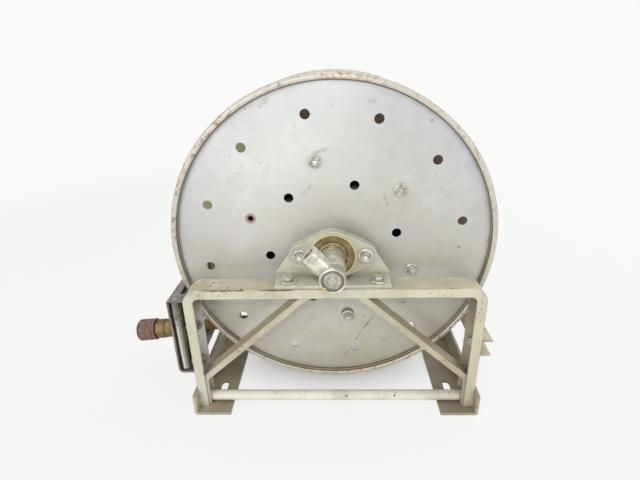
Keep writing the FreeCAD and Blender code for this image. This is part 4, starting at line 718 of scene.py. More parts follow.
disc_paint = silver_sheet("silver grey sheet")
inside_finish = inside_of_reel("rusty inside with painted shade")
dress_inside(disc_paint, inside_finish, "disc_front", "disc_rear")
dress(inside_finish, "drum_shell")
dress(disc_paint, "spring_case")

# Bearing brackets, the front bearing's housing, the rear flange and the rear hub ring. Bent
# plate and grey iron castings, painted over in place with the same cream as the frame. Dirt and
# painted shade sit in their corners, and their worn edges carry a painted white highlight.
CASTING = (0.44, 0.425, 0.335)
CASTING_PALE = (0.57, 0.55, 0.45)
BRACKET = (0.57, 0.55, 0.44)
BRACKET_PALE = (0.71, 0.69, 0.58)
CASTING_DIRT_AND_SHADE = (0.17, 0.14, 0.08)
GREASE_YELLOW = (0.56, 0.5, 0.2)
WORN_EDGE_HIGHLIGHT = (0.93, 0.92, 0.88)
CASTING_STAIN = (0.33, 0.3, 0.215)
BEARING_RADIUS = 0.033


def painted_casting(name, base, pale):
    material, tree, surface = new_material(name)
    paint = add_group(tree, CLOUDS, Colour=base, Other=pale, Scale=20.0, Low=0.4, High=0.72)
    stain = mask_from(tree, CLOUDS, Scale=34.0, Low=0.52, High=0.72)
    colour = cover_colour(paint.outputs["Colour"], stain, CASTING_STAIN, 0.45)
    # Dirt and painted shade in the corners.
    colour = layer(colour, CASTING_DIRT_AND_SHADE, 0.8, CREVICE_DIRT_AND_SHADE, Reach=0.01, Ragged=90.0)
    colour = layer(colour, RUST, 0.6, SPECKS, Scale=120.0, Size=0.12, Patches=16.0, Cover=0.55)
    # Worn edges with a painted white highlight.
    colour = layer(colour, WORN_EDGE_HIGHLIGHT, 0.95, EDGE_WEAR_AND_HIGHLIGHT, Radius=0.002, Breakup=24.0, Amount=2.2)
    greased = mask_from(tree, CLOUDS, Scale=30.0, Low=0.3, High=0.5)
    lip = band_mask(radius_value(tree, AXLE), BEARING_RADIUS - 0.002, BEARING_RADIUS + 0.0032, 0.0008)
    colour = cover_colour(colour, multiply(lip, greased), GREASE_YELLOW, 0.9)
    set_surface(surface, colour)
    vary_gloss(surface, stain, 0.3, 0.56)
    grain_normal(surface, 170.0, 0.32, 0.0014)
    return material


bracket_paint = painted_casting("painted bracket", BRACKET, BRACKET_PALE)
dress(bracket_paint, "bearing_bracket_front", "bearing_bracket_rear")
casting_paint = painted_casting("painted casting", CASTING, CASTING_PALE)
dress(casting_paint, "bearing_housing", "arbor_flange", "rear_hub_ring")

# The ball bearings. Steel rings, seals and balls under old grease that has gone yellow brown
# and collects in rings between the seal and the shaft.
GREASE_BROWN = (0.12, 0.07, 0.022)
GREASE_FRESH = (0.62, 0.52, 0.2)
GREASE_RINGS = ((0.016, (0.44, 0.38, 0.23)), (0.018, (0.44, 0.38, 0.23)), (0.0183, (0.035, 0.025, 0.015)),
                (0.019, (0.035, 0.025, 0.015)), (0.0194, (0.78, 0.68, 0.32)), (0.0236, (0.6, 0.48, 0.17)),
                (0.024, (0.045, 0.03, 0.018)), (0.0247, (0.045, 0.03, 0.018)), (0.0252, (0.315, 0.23, 0.105)),
                (0.03, (0.235, 0.165, 0.07)), (0.0318, (0.12, 0.078, 0.034)), (0.0322, (0.56, 0.5, 0.18)))


def ring_colours(value, rings):
    """Colours by distance from the axle: each ring is (distance, colour)."""
    tree = value.id_data
    reach = rings[-1][0]
    share = graded(value, 0.0, reach)
    ramp = shader_node(tree, "ValToRGB")
    stops = ramp.color_ramp.elements
    while len(stops) < len(rings):
        stops.new(1.0)
    for stop, (distance, colour) in zip(stops, rings):
        stop.position = distance / reach
        stop.color = colour + (1,)
    tree.links.new(share, ramp.inputs[0])
    return ramp.outputs[0]


def greasy_steel(name):
    material, tree, surface = new_material(name)
    rings = ring_colours(radius_value(tree, AXLE), GREASE_RINGS)
    colour = layer(rings, GREASE_BROWN, 0.65, CLOUDS, Scale=90.0, Low=0.44, High=0.66)
    colour = layer(colour, GREASE_FRESH, 0.6, CLOUDS, Scale=130.0, Low=0.58, High=0.7)
    set_surface(surface, colour, Metallic=0.25, Roughness=0.26, Coat_Weight=0.5)
    grain_normal(surface, 260.0, 0.6, 0.0006)
    return material


grease_finish = greasy_steel("greasy bearing steel")
dress(grease_finish, "bearing_outer_ring", "bearing_inner_ring", "bearing_seals", "bearing_balls", "rear_balls",
      "rear_outer_ring", "rear_inner_ring")

# Bolts, nuts, washers and pins. Zinc-plated steel hexagons, most of them brushed over with the
# frame's paint. Wide washers lie under the heads, and the threaded ends stand out of the nuts.
ZINC = (0.76, 0.745, 0.68)
ZINC_DULL = (0.36, 0.335, 0.265)
BOLT_DIRT_AND_SHADE = (0.09, 0.07, 0.045)
BOLT_RUST = (0.26, 0.15, 0.08)
BOLT_EDGE = (0.78, 0.765, 0.7)
GREY_ZINC = (0.42, 0.415, 0.4)
GREY_ZINC_DULL = (0.24, 0.23, 0.21)
LARGE_BOLT = 0.0095
SMALL_BOLT = 0.0079
CAD_WASHER = 0.0016
HEAD_SHARE = 0.65
THREAD_PITCH = 0.0012
BRACKET_WASHER = (0.0078, 0.0126, 0.0024)
HOUSING_WASHER = (0.0078, 0.0116, 0.002)
TIE_WASHER = (0.007, 0.01, 0.0018)
HOUSING_BOLT_END = 0.0036
TIE_BOLT_END = 0.003
HOLE_PHASE = 10.32
TIE_ANGLES = (30, 90, 210, 270, 330)


def weathered(name, pale, dark, cloud, layers, metal, gloss, grain):
    """Two cloudy colours under layers of (colour, share, group, values). Gloss is a value or a range."""
    material, tree, surface = new_material(name)
    base = add_group(tree, CLOUDS, Colour=pale, Other=dark, **cloud)
    colour = base.outputs["Colour"]
    for tint, share, group, values in layers:
        colour = layer(colour, tint, share, group, **values)
    set_surface(surface, colour, Metallic=metal)
    if isinstance(gloss, tuple):
        vary_gloss(surface, base.outputs["Mask"], *gloss)
    else:
        surface.inputs["Roughness"].default_value = gloss
    grain_normal(surface, *grain)
    return material


def dull_zinc(name, pale=ZINC, dull=ZINC_DULL, metal=0.25):
    # Dirt and painted shade round the seats and corners.
    layers = ((BOLT_DIRT_AND_SHADE, 0.95, CREVICE_DIRT_AND_SHADE, {"Reach": 0.007, "Ragged": 150.0}),
              (BOLT_RUST, 0.6, CLOUDS, {"Scale": 60.0, "Low": 0.62, "High": 0.72}),
              (BOLT_EDGE, 0.8, EDGE_WEAR_AND_HIGHLIGHT, {"Radius": 0.001, "Breakup": 150.0, "Amount": 1.2}))
    cloud = {"Scale": 120.0, "Low": 0.4, "High": 0.62}
    return weathered(name, pale, dull, cloud, layers, metal, 0.36, (380.0, 0.3, 0.0008))


def pointing(place, axis):
    """A frame at a place whose local Z runs along an axis."""
    turn = Vector((0, 0, 1)).rotation_difference(Vector(axis)).to_matrix().to_4x4()
    return Matrix.Translation(Vector(place)) @ turn


def mesh_piece(name, points, faces, material, body, slot, flat_edge=40):
    """A finished mesh that rides on a body; its slot argument is not used."""
    mesh = bpy.data.meshes.new(name)
    mesh.from_pydata(points, [], faces)
    mesh.validate()
    mesh.materials.append(material)
    piece = add_object(name, mesh)
    mesh.shade_smooth()
    mesh.set_sharp_from_angle(angle=math.radians(flat_edge))
    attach(piece, body)
    return piece


def turned_mesh(outline, stand, sides, ripple=None):
    """Points and faces of a closed outline of (radius, height) turned about a frame's Z."""
    points = []
    for turn in range(sides):
        angle = 2 * math.pi * turn / sides
        for radius, height in outline:
            reach = radius + (ripple(angle, radius, height) if ripple else 0.0)
            points.append(stand @ Vector((reach * math.cos(angle), reach * math.sin(angle), height)))
    count = len(outline)
    faces = []
    for turn in range(sides):
        here = turn * count
        ahead = (turn + 1) % sides * count
        for step in range(count):
            after = (step + 1) % count
            faces.append((here + step, ahead + step, ahead + after, here + after))
    return points, faces


def wide_washer(name, stand, inner, outer, wall, material, body):
    """Dished washer: a thin rim that rises to a rounded shoulder under the bolt's head."""
    outline = [(inner, -0.0001), (outer, -0.0001), (outer, wall * 0.45), (outer - wall * 0.35, wall * 0.75),
               (inner + (outer - inner) * 0.55, wall), (inner, wall * 1.05)]
    mesh_piece(name, *turned_mesh(outline, stand, 40), material, body, "plated_bolt")


def threaded_end(name, stand, radius, length, material, body):
    """The end of a bolt that stands out of its nut, with rolled threads and a domed tip."""
    outline = [(0.0002, -0.0002), (radius, -0.0002)]
    height = 0.0002
    while height + THREAD_PITCH < length:
        outline += [(radius, height), (radius * 0.88, height + THREAD_PITCH / 2)]
        height += THREAD_PITCH
    outline += [(radius * 0.96, height), (radius * 0.7, length), (0.0002, length * 1.06)]
    mesh_piece(name, *turned_mesh(outline, stand, 28), material, body, "plated_bolt")


bolt_finish = dull_zinc("dull zinc")
grey_finish = dull_zinc("grey zinc", GREY_ZINC, GREY_ZINC_DULL, 0.6)
dress(bolt_finish, "spacer_bolts", "bracket_bolts", "housing_bolts", "arbor_bolts", "tie_bolts", "case_bolts",
      "arbor_nut")
dress(grey_finish, "guide_bolts", "guide_pins")

bracket_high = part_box("bracket_bolts")[1]
foot_top = bracket_high.z - LARGE_BOLT * HEAD_SHARE - CAD_WASHER
washer_reach = LARGE_BOLT * 1.05
for side in (-1, 1):
    for end, end_name in ((-1, "front"), (1, "rear")):
        bolt_place = (side * (bracket_high.x - washer_reach), end * (bracket_high.y - washer_reach), foot_top)
        side_name = "left" if side < 0 else "right"
        wide_washer("bracket_washer_%s_%s" % (end_name, side_name), pointing(bolt_place, (0, 0, 1)),
                    *BRACKET_WASHER, bolt_finish, "frame")

housing_low, housing_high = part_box("housing_bolts")
flange_face = housing_low.y + LARGE_BOLT * HEAD_SHARE + CAD_WASHER
for side, side_name in ((-1, "left"), (1, "right")):
    bolt_place = Vector((side * (housing_high.x - washer_reach), flange_face, AXLE.z))
    wide_washer("housing_washer_" + side_name, pointing(bolt_place, (0, -1, 0)), *HOUSING_WASHER,
                bolt_finish, "frame")
    head_top = bolt_place - Vector((0, LARGE_BOLT * HEAD_SHARE + CAD_WASHER, 0))
    threaded_end("housing_bolt_end_" + side_name, pointing(head_top, (0, -1, 0)), LARGE_BOLT / 2,
                 HOUSING_BOLT_END, bolt_finish, "frame")

for number, angle in enumerate(TIE_ANGLES, start=1):
    turn = math.radians(HOLE_PHASE + angle)
    spot = AXLE + Vector((math.cos(turn), 0, math.sin(turn))) * TIE_CIRCLE
    seat = Vector((spot.x, INNER_FACE - SHEET_WALL, spot.z))
    wide_washer("tie_washer_%d" % number, pointing(seat, (0, -1, 0)), *TIE_WASHER, bolt_finish, "reel")
    head_top = seat - Vector((0, SMALL_BOLT * HEAD_SHARE + CAD_WASHER, 0))
    threaded_end("tie_bolt_end_%d" % number, pointing(head_top, (0, -1, 0)), SMALL_BOLT / 2,
                 TIE_BOLT_END, bolt_finish, "reel")

# Hollow shaft, collar, arbor, outlet pipe and swivel. Turned steel with dull plating. The
# swivel's body is sprayed pale silver, worn smooth by hands, and its end plug is rough and
# speckled inside a rolled ring. Its inlet is tapped with a pipe thread.
TURNED = (0.6, 0.585, 0.51)
TURNED_DARK = (0.34, 0.315, 0.235)
SHAFT_DIRT_AND_SHADE = (0.11, 0.085, 0.045)
SHAFT_EDGE = (0.8, 0.785, 0.72)
SWIVEL_PALE = (0.76, 0.735, 0.59)
SWIVEL_GREY = (0.43, 0.425, 0.375)
THREAD_DARK = (0.15, 0.13, 0.095)
THREAD_PALE = (0.33, 0.31, 0.26)
SWIVEL_EDGE = (0.92, 0.91, 0.87)
SWIVEL_FLAKE = (0.14, 0.12, 0.085)
SWIVEL_DIRT_AND_SHADE = (0.13, 0.1, 0.05)
SWIVEL_END = (0.13, 0.115, 0.085)
SWIVEL_GREASE = (0.15, 0.105, 0.055)
PLUG_PALE = (0.56, 0.53, 0.46)
PLUG_DARK = (0.36, 0.335, 0.27)
PLUG_PIT = (0.075, 0.065, 0.05)
PLUG_DIRT_AND_SHADE = (0.06, 0.05, 0.035)
INLET_SET_BACK = 0.017
INLET_REACH = 0.046
INLET_BORE = 0.0093
INLET_DEPTH = 0.014
INLET_PITCH = 0.0018
SWIVEL_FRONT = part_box("swivel_elbow")[0].y
GREASE_DEPTHS = (-0.138, -0.112)
END_FACE_RADII = (0.0158, 0.015)


def turned_steel(name, pale=TURNED, dark=TURNED_DARK, metal=0.55, rough=0.38, dirt_and_shade=0.7):
    # Dirt and painted shade in the corners.
    layers = ((SHAFT_DIRT_AND_SHADE, dirt_and_shade, CREVICE_DIRT_AND_SHADE, {"Reach": 0.007, "Ragged": 120.0}),
              (SHAFT_EDGE, 0.7, EDGE_WEAR_AND_HIGHLIGHT, {"Radius": 0.0012, "Breakup": 160.0, "Amount": 1.0}))
    cloud = {"Scale": 48.0, "Low": 0.46, "High": 0.76}
    return weathered(name, pale, dark, cloud, layers, metal, (rough, rough + 0.16), (300.0, 0.28, 0.001))


def sprayed_swivel(name):
    """Pale spray over steel, dark with old grease beside the bearing and round the end plug."""
    material, tree, surface = new_material(name)
    base = add_group(tree, CLOUDS, Colour=SWIVEL_PALE, Other=SWIVEL_GREY, Scale=52.0, Low=0.42, High=0.62)
    depth = object_axis(tree, "Y")
    grease = mask_from(tree, CLOUDS, Scale=150.0, Low=0.36, High=0.6)
    near = graded(depth, *GREASE_DEPTHS)
    colour = cover_colour(base.outputs["Colour"], multiply(near, grease), SWIVEL_GREASE, 0.85)
    end_face = multiply(graded(depth, SWIVEL_FRONT + 0.001, SWIVEL_FRONT + 0.0004),
                        graded(radius_value(tree, AXLE), *END_FACE_RADII))
    colour = cover_colour(colour, end_face, SWIVEL_END, 0.85)
    # Dirt and painted shade in the corners.
    colour = layer(colour, SWIVEL_DIRT_AND_SHADE, 0.85, CREVICE_DIRT_AND_SHADE, Reach=0.008, Ragged=130.0)
    colour = layer(colour, SWIVEL_FLAKE, 0.75, SPECKS, Scale=230.0, Size=0.22, Patches=48.0, Cover=0.52)
    colour = layer(colour, SWIVEL_EDGE, 0.9, EDGE_WEAR_AND_HIGHLIGHT, Radius=0.0014, Breakup=110.0, Amount=1.1)
    set_surface(surface, colour, Metallic=0.45)
    vary_gloss(surface, base.outputs["Mask"], 0.14, 0.34)
    grain_normal(surface, 170.0, 0.55, 0.0012)
    return material


def speckled_plug(name):
    """Rough casting skin: pale grey with dark pits."""
    # Dark pits, and dirt and painted shade in the recesses.
    layers = ((PLUG_PIT, 0.85, SPECKS, {"Scale": 420.0, "Size": 0.24, "Patches": 70.0, "Cover": 0.46}),
              (PLUG_DIRT_AND_SHADE, 0.8, CREVICE_DIRT_AND_SHADE, {"Reach": 0.004, "Ragged": 220.0}))
    cloud = {"Scale": 160.0, "Low": 0.4, "High": 0.65}
    return weathered(name, PLUG_PALE, PLUG_DARK, cloud, layers, 0.3, 0.42, (620.0, 0.7, 0.0006))


shaft_finish = turned_steel("dull turned steel")
dress(shaft_finish, "hub_shaft", "shaft_collar", "spring_arbor", "outlet_pipe")
swivel_finish = sprayed_swivel("pale swivel spray")
dress(swivel_finish, "swivel_elbow", "swivel_barrel")
plug_finish = speckled_plug("speckled plug")
dress(plug_finish, "swivel_end_plug")

INLET_AXIS = Vector((-1, 0, 1)).normalized()
inlet_root = Vector((0, SWIVEL_FRONT + INLET_SET_BACK, AXLE.z))
mouth_frame = pointing(inlet_root + INLET_AXIS * (INLET_REACH - 0.0004), -INLET_AXIS)


def inlet_thread():
    """Saw-toothed lining of the tapped inlet."""
    outline = [(INLET_BORE + 0.0006, 0.0), (INLET_BORE - 0.0001, 0.0)]
    height = 0.0008
    while height + INLET_PITCH < INLET_DEPTH:
        outline += [(INLET_BORE - 0.0001, height), (INLET_BORE - 0.001, height + INLET_PITCH * 0.5)]
        height += INLET_PITCH
    outline += [(INLET_BORE - 0.0001, height), (INLET_BORE + 0.0006, height)]
    mesh_piece("inlet_thread", *turned_mesh(outline, mouth_frame, 48), thread_finish, "swivel", "worn_steel")


def end_ring():
    """Rolled ring round the swivel's end plug."""
    outline = [(0.0152, 0.0005), (0.0178, 0.0005), (0.018, -0.0006), (0.0174, -0.0015), (0.0165, -0.0018),
               (0.0157, -0.0014), (0.0153, -0.0005)]
    stand = pointing((0, SWIVEL_FRONT, AXLE.z), (0, 1, 0))
    mesh_piece("swivel_end_ring", *turned_mesh(outline, stand, 56), swivel_finish, "swivel", "worn_steel")


thread_finish = turned_steel("dark thread", THREAD_PALE, THREAD_DARK, 0.6, 0.35, 0.9)
inlet_thread()
end_ring()

# The roller guide and its rollers. Folded sheet with a thick dark brown-grey coat, rubbed to
# bright metal where the hose and hands have passed, with dirt and painted shade in its corners.
# The rollers are steel tube, still dark at the top and polished lower down, where a worn strip
# with a painted highlight runs down one side.
GUIDE_DARK = (0.135, 0.116, 0.096)
GUIDE_DUST = (0.42, 0.39, 0.335)
GUIDE_BRIGHT = (0.4, 0.385, 0.33)
GUIDE_DIRT_AND_SHADE = (0.022, 0.018, 0.014)
GUIDE_SETTLED = (0.3, 0.28, 0.235)
ROLLER_STEEL = (0.52, 0.5, 0.44)
LYING_DARK = (0.26, 0.235, 0.18)
WORN_HIGHLIGHT_STRIP = (0.74, 0.72, 0.64)
ROLLER_PALE = (0.52, 0.495, 0.43)
ROLLER_DARK = (0.34, 0.318, 0.272)
COAT_ENDS = 0.163
COAT_RAGGED = 0.03
STRIP_LEFT = -0.2505
STRIP_RIGHT = -0.2485


def guide_coat(name):
    # Dirt and painted shade in the corners.
    layers = ((GUIDE_DIRT_AND_SHADE, 0.8, CREVICE_DIRT_AND_SHADE, {"Reach": 0.012, "Ragged": 80.0}),
              (GUIDE_SETTLED, 0.5, SETTLED_DUST_AND_SHADE, {"Scale": 30.0}),
              (GUIDE_BRIGHT, 0.45, EDGE_WEAR_AND_HIGHLIGHT, {"Radius": 0.0016, "Breakup": 30.0, "Amount": 0.6}))
    cloud = {"Scale": 42.0, "Low": 0.42, "High": 0.66, "Stretch": (1.0, 1.0, 0.45)}
    return weathered(name, GUIDE_DARK, GUIDE_DUST, cloud, layers, 0.15, 0.5, (210.0, 0.35, 0.001))


def worn_roller(name):
    """Dark coat above, polished steel below with a worn strip and painted highlight down one side,
    and a ragged edge between them.
    """
    material, tree, surface = new_material(name)
    height = object_axis(tree, "Z")
    ragged = add_group(tree, CLOUDS, Scale=55.0, Low=0.3, High=0.7)
    lift = shader_node(tree, "Math", operation="MULTIPLY_ADD")
    lift.inputs[1].default_value = COAT_RAGGED
    chain(tree, ((ragged, "Mask"), (lift, 0)))
    tree.links.new(height, lift.inputs[2])
    coated = graded(lift.outputs[0], COAT_ENDS + 0.014, COAT_ENDS + 0.017)
    steel = add_group(tree, CLOUDS, Colour=ROLLER_DARK, Other=ROLLER_PALE, Scale=60.0, Low=0.44,
                      High=0.72, Stretch=(1.0, 1.0, 0.3))
    # A narrow bright strip down the polished steel, worn and given a painted highlight.
    strip = band_mask(object_axis(tree, "X"), STRIP_LEFT, STRIP_RIGHT, 0.0006)
    polished_with_highlight = cover_colour(steel.outputs["Colour"], strip, WORN_HIGHLIGHT_STRIP, 0.95)
    dark = add_group(tree, CLOUDS, Colour=GUIDE_DARK, Other=GUIDE_DUST, Scale=45.0, Low=0.4, High=0.72)
    mix = shader_node(tree, "Mix", data_type="RGBA")
    tree.links.new(coated, mix.inputs[0])
    tree.links.new(polished_with_highlight, mix.inputs[6])
    chain(tree, ((dark, "Colour"), (mix, 7)))
    tree.links.new(mix.outputs[2], surface.inputs["Base Color"])
    metal = shader_node(tree, "MapRange", To_Min=0.55, To_Max=0.15)
    tree.links.new(coated, metal.inputs["Value"])
    tree.links.new(metal.outputs[0], surface.inputs["Metallic"])
    vary_gloss(surface, coated, 0.24, 0.52)
    grain_normal(surface, 300.0, 0.22, 0.0008)
    return material


guide_finish = guide_coat("dark guide coat")
dress(guide_finish, "guide_frame", "guide_cheek_front", "guide_cheek_rear")
dress(worn_roller("half worn roller with painted highlight"), "guide_roller_front", "guide_roller_rear")
roller_finish = turned_steel("lying roller steel", ROLLER_STEEL, LYING_DARK, 0.75, 0.3)
dress(roller_finish, "guide_roller_top", "guide_roller_bottom")

# The hose's end fittings. Two brass hexagons and a crimped ferrule lie in line with the hose,
# and a big swivel nut turns on them. The nut is cut with a coarse diamond knurl and tapped,
# and its bronze has tarnished to a dark purple brown.
BRASS = (0.25, 0.16, 0.06)
BRASS_DARK = (0.12, 0.074, 0.028)
BRONZE = (0.29, 0.185, 0.15)
BRONZE_DARK = (0.145, 0.086, 0.068)
YELLOW_BRASS_DARK = (0.46, 0.35, 0.09)
YELLOW_BRASS = (0.74, 0.6, 0.15)
LEAD_SLOPE = math.radians(5.1)
LEAD_DIRECTION = Vector((-math.cos(LEAD_SLOPE), 0, -math.sin(LEAD_SLOPE)))
NUT_RADIUS = 0.0195
NUT_HALF = 0.0165
NUT_MOUTH = 0.015
NUT_SHOULDER = 0.0113
NUT_SEAT = -0.0093
NUT_INNER_FACE = -0.0125
NUT_SIDES = 252
KNURLS = 42
KNURL_DEPTH = 0.0009
KNURL_PITCH = 0.0029
KNURL_END = 0.0116
KNURL_ROWS = 44
KNURL_FLATS = 1.35
NUT_GROOVE = 0.0124
NUT_THREAD = 0.0022


def tarnished(name, pale, dark, scale, rough, metal=0.8):
    # Dark grime and painted shade in the corners.
    grime_and_shade = tuple(channel * 0.25 for channel in dark)
    rubbed = tuple(min(1.0, channel * 1.7) for channel in pale)
    layers = ((grime_and_shade, 0.8, CREVICE_DIRT_AND_SHADE, {"Reach": 0.005, "Ragged": 160.0}),
              (rubbed, 0.7, EDGE_WEAR_AND_HIGHLIGHT, {"Radius": 0.0011, "Breakup": 150.0, "Amount": 1.0}))
    cloud = {"Scale": scale, "Low": 0.4, "High": 0.72}
    return weathered(name, pale, dark, cloud, layers, metal, (rough, rough + 0.14), (300.0, 0.28, 0.0008))


def knurl(angle, radius, height):
    """How far the knurl's cuts lie below the nut's rim: crossed rows of small pyramids."""
    if radius < NUT_RADIUS - 0.0001 or abs(height) > KNURL_END:
        return 0.0
    along = 2 * math.pi * height / KNURL_PITCH
    first = abs(math.cos((KNURLS * angle + along) / 2))
    second = abs(math.cos((KNURLS * angle - along) / 2))
    return -KNURL_DEPTH * (1 - min(1.0, KNURL_FLATS * first * second))


def swivel_nut():
    knurled = [(NUT_RADIUS, KNURL_END * (2 * row / KNURL_ROWS - 1)) for row in range(KNURL_ROWS + 1)]
    outline = [(NUT_SHOULDER, -NUT_HALF), (NUT_RADIUS - 0.0008, -NUT_HALF), (NUT_RADIUS, -NUT_HALF + 0.0008),
               (NUT_RADIUS, -NUT_GROOVE - 0.0008), (NUT_RADIUS - 0.0012, -NUT_GROOVE)]
    outline += [(NUT_RADIUS, -KNURL_END - 0.0001)] + knurled + [(NUT_RADIUS, KNURL_END + 0.0001)]
    outline += [(NUT_RADIUS - 0.0012, NUT_GROOVE), (NUT_RADIUS, NUT_GROOVE + 0.0006),
                (NUT_RADIUS - 0.0008, NUT_HALF - 0.0022), (NUT_RADIUS - 0.002, NUT_HALF - 0.0008),
                (NUT_RADIUS - 0.0032, NUT_HALF), (NUT_MOUTH + 0.001, NUT_HALF), (NUT_MOUTH, NUT_HALF - 0.001)]
    height = NUT_HALF - 0.002
    while height - NUT_THREAD > NUT_SEAT:
        outline += [(NUT_MOUTH, height), (NUT_MOUTH + 0.0012, height - NUT_THREAD / 2)]
        height -= NUT_THREAD
    outline += [(NUT_MOUTH, height), (NUT_MOUTH - 0.0003, NUT_SEAT - 0.0002),
                (NUT_MOUTH - 0.0003, NUT_INNER_FACE), (NUT_SHOULDER, NUT_INNER_FACE)]
    low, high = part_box("coupling_nut")
    stand = pointing((low + high) / 2, LEAD_DIRECTION)
    nut = mesh_piece("swivel_nut", *turned_mesh(outline, stand, NUT_SIDES, knurl), bronze_finish, "coupling",
                     "old_bronze", flat_edge=30)
    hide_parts("coupling_nut")


brass_finish = tarnished("tarnished brass", BRASS, BRASS_DARK, 60.0, 0.46, 0.55)
dress(brass_finish, "hose_ferrule", "hose_hex_inner", "hose_hex_outer")
bright_brass = tarnished("yellow brass", YELLOW_BRASS, YELLOW_BRASS_DARK, 90.0, 0.25)
dress(bright_brass, "grease_fitting")
bronze_finish = tarnished("dark bronze", BRONZE, BRONZE_DARK, 90.0, 0.4, 0.55)
swivel_nut()

# The hose. Brown rubber over textile, one unbroken layer wound on the drum and a straight lead
# held from the drum through the guide to its ferrule. Its cover shows the spiral of the
# cloth that it was wrapped in when it was cured.
RUBBER = (0.15, 0.086, 0.022)
RUBBER_DUSTY = (0.205, 0.13, 0.044)
RUBBER_SCUFF = (0.31, 0.21, 0.105)
HOSE_SIDES = 32
STEPS_A_TURN = 56
LEAD_RINGS = 24
WRAP_WIDTH = 0.024
wind_low, wind_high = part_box("hose_winding")
lead_low, lead_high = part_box("hose_lead")
drum_low, drum_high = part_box("drum_shell")
HOSE_RADIUS = (lead_high.y - lead_low.y) / 2
WIND_RADIUS = (drum_high.x - drum_low.x) / 2 + HOSE_RADIUS + 0.0005
WIND_START = math.radians(178.0)
WIND_END = math.radians(-90.0) + LEAD_SLOPE
START_PLANE = wind_high.y - HOSE_RADIUS
END_PLANE = wind_low.y + HOSE_RADIUS
WHOLE_TURNS = 3
WIND_EASE = 0.04


def hose_rubber(name):
    material, tree, surface = new_material(name)
    base = add_group(tree, CLOUDS, Colour=RUBBER, Other=RUBBER_DUSTY, Scale=30.0, Low=0.42, High=0.75)
    colour = layer(base.outputs["Colour"], RUBBER_SCUFF, 0.35, CLOUDS, Scale=70.0, Low=0.58, High=0.7)
    set_surface(surface, colour, Roughness=0.6, Specular_IOR_Level=0.3)
    place = shader_node(tree, "TexCoord")
    wrap = shader_node(tree, "TexWave", bands_direction="DIAGONAL", wave_profile="SAW", Scale=1.0,
                       Distortion=0.4, Detail=2.0)
    fine = shader_node(tree, "TexNoise", Scale=60.0, Detail=4.0)
    both = shader_node(tree, "Math", operation="MULTIPLY_ADD")
    both.inputs[1].default_value = 0.5
    chain(tree, ((place, "UV"), (wrap, "Vector")), ((place, "UV"), (fine, "Vector")), ((wrap, 1), (both, 0)),
          (fine, (both, 2)))
    grain_normal(surface, 500.0, 0.45, height=both.outputs[0])
    return material


def tube_piece(name, route, radius, material, body, slot):
    """Round tube along points, closed at both ends, with UVs along and around it."""
    points = []
    reach = [0.0]
    for here, ahead in zip(route, route[1:]):
        reach.append(reach[-1] + (ahead - here).length)
    direction = (route[1] - route[0]).normalized()
    side = direction.orthogonal().normalized()
    last = len(route) - 1
    for index, centre in enumerate(route):
        ahead = (route[min(index + 1, last)] - route[max(index - 1, 0)]).normalized()
        side = (direction.rotation_difference(ahead).to_matrix() @ side).normalized()
        side = (side - ahead * side.dot(ahead)).normalized()
        direction = ahead
        across = ahead.cross(side)
        for step in range(HOSE_SIDES):
            angle = 2 * math.pi * step / HOSE_SIDES
            points.append(centre + (side * math.cos(angle) + across * math.sin(angle)) * radius)
    faces = []
    corners = []
    for index in range(last):
        for step in range(HOSE_SIDES):
            after = (step + 1) % HOSE_SIDES
            row = index * HOSE_SIDES
            faces.append((row + step, row + after, row + HOSE_SIDES + after, row + HOSE_SIDES + step))
            for ring, turn in ((index, step), (index, step + 1), (index + 1, step + 1), (index + 1, step)):
                corners.append((reach[ring] / WRAP_WIDTH, turn / HOSE_SIDES))
    faces.append(tuple(reversed(range(HOSE_SIDES))))
    faces.append(tuple(last * HOSE_SIDES + step for step in range(HOSE_SIDES)))
    corners += [(0.0, 0.0)] * (2 * HOSE_SIDES)
    piece = mesh_piece(name, points, faces, material, body, slot, flat_edge=50)
    layer = piece.data.uv_layers.new(name="wrap")
    for corner, (along, around) in zip(layer.data, corners):
        corner.uv = (along, around)
    return piece


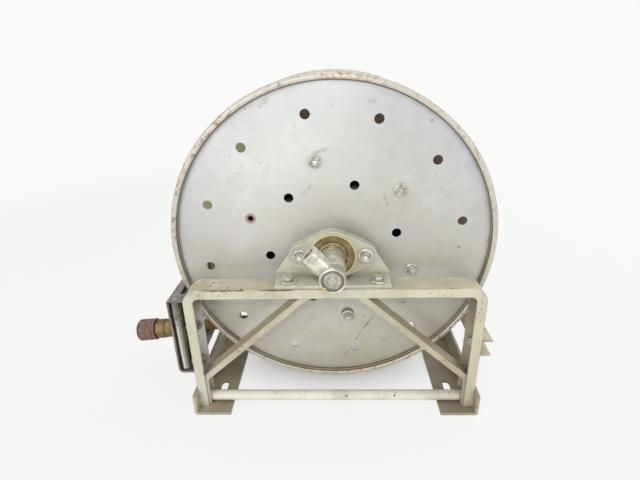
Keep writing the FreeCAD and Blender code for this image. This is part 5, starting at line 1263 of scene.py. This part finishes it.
def eased(share):
    """Travel that starts and stops gently and is even between."""
    if share < WIND_EASE:
        return share * share / (2 * WIND_EASE * (1 - WIND_EASE))
    if share > 1 - WIND_EASE:
        return 1 - eased(1 - share)
    return (share - WIND_EASE / 2) / (1 - WIND_EASE)


def wind_spot(angle, plane):
    return AXLE + Vector((math.cos(angle) * WIND_RADIUS, plane, math.sin(angle) * WIND_RADIUS))


def wound_hose():
    total = WIND_START - WIND_END + 2 * math.pi * WHOLE_TURNS
    steps = round(total / (2 * math.pi) * STEPS_A_TURN)
    start_tangent = Vector((math.sin(WIND_START), 0, -math.cos(WIND_START)))
    gauge = 2 * HOSE_RADIUS
    first = wind_spot(WIND_START, START_PLANE)
    route = [first - start_tangent * gauge * share for share in (1.0, 0.75, 0.5, 0.25)]
    for step in range(steps + 1):
        share = step / steps
        plane = START_PLANE + (END_PLANE - START_PLANE) * eased(share)
        route.append(wind_spot(WIND_START - total * share, plane))
    finish = route[-1]
    route += [finish + LEAD_DIRECTION * gauge * share for share in (0.25, 0.5, 0.75, 1.0)]
    piece = tube_piece("wound_hose", route, HOSE_RADIUS, rubber_finish, "reel", "hose_rubber")
    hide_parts("hose_winding")


def straight_lead():
    middle = (lead_low + lead_high) / 2
    tilt = math.sin(LEAD_SLOPE) * HOSE_RADIUS
    half = ((lead_high.x - lead_low.x) / 2 - tilt) / math.cos(LEAD_SLOPE)
    route = [middle + LEAD_DIRECTION * half * (2 * ring / LEAD_RINGS - 1) for ring in range(LEAD_RINGS + 1)]
    piece = tube_piece("hose_to_ferrule", route, HOSE_RADIUS, rubber_finish, "frame", "hose_rubber")
    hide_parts("hose_lead")


rubber_finish = hose_rubber("hose rubber")
wound_hose()
straight_lead()

# The rewind spring. Blued strip steel, coiled flat inside its case on the rear disc.
BLUED = (0.055, 0.065, 0.085)
BLUED_BROWN = (0.12, 0.1, 0.08)
blued_finish = weathered("blued spring strip", BLUED, BLUED_BROWN, {"Scale": 40.0, "Low": 0.4, "High": 0.7}, (),
                         0.9, 0.35, (400.0, 0.15))
dress(blued_finish, "power_spring")

# Looks are written as they are: a plain view of the colours, with no grading.
bpy.context.scene.view_settings.view_transform = "Standard"
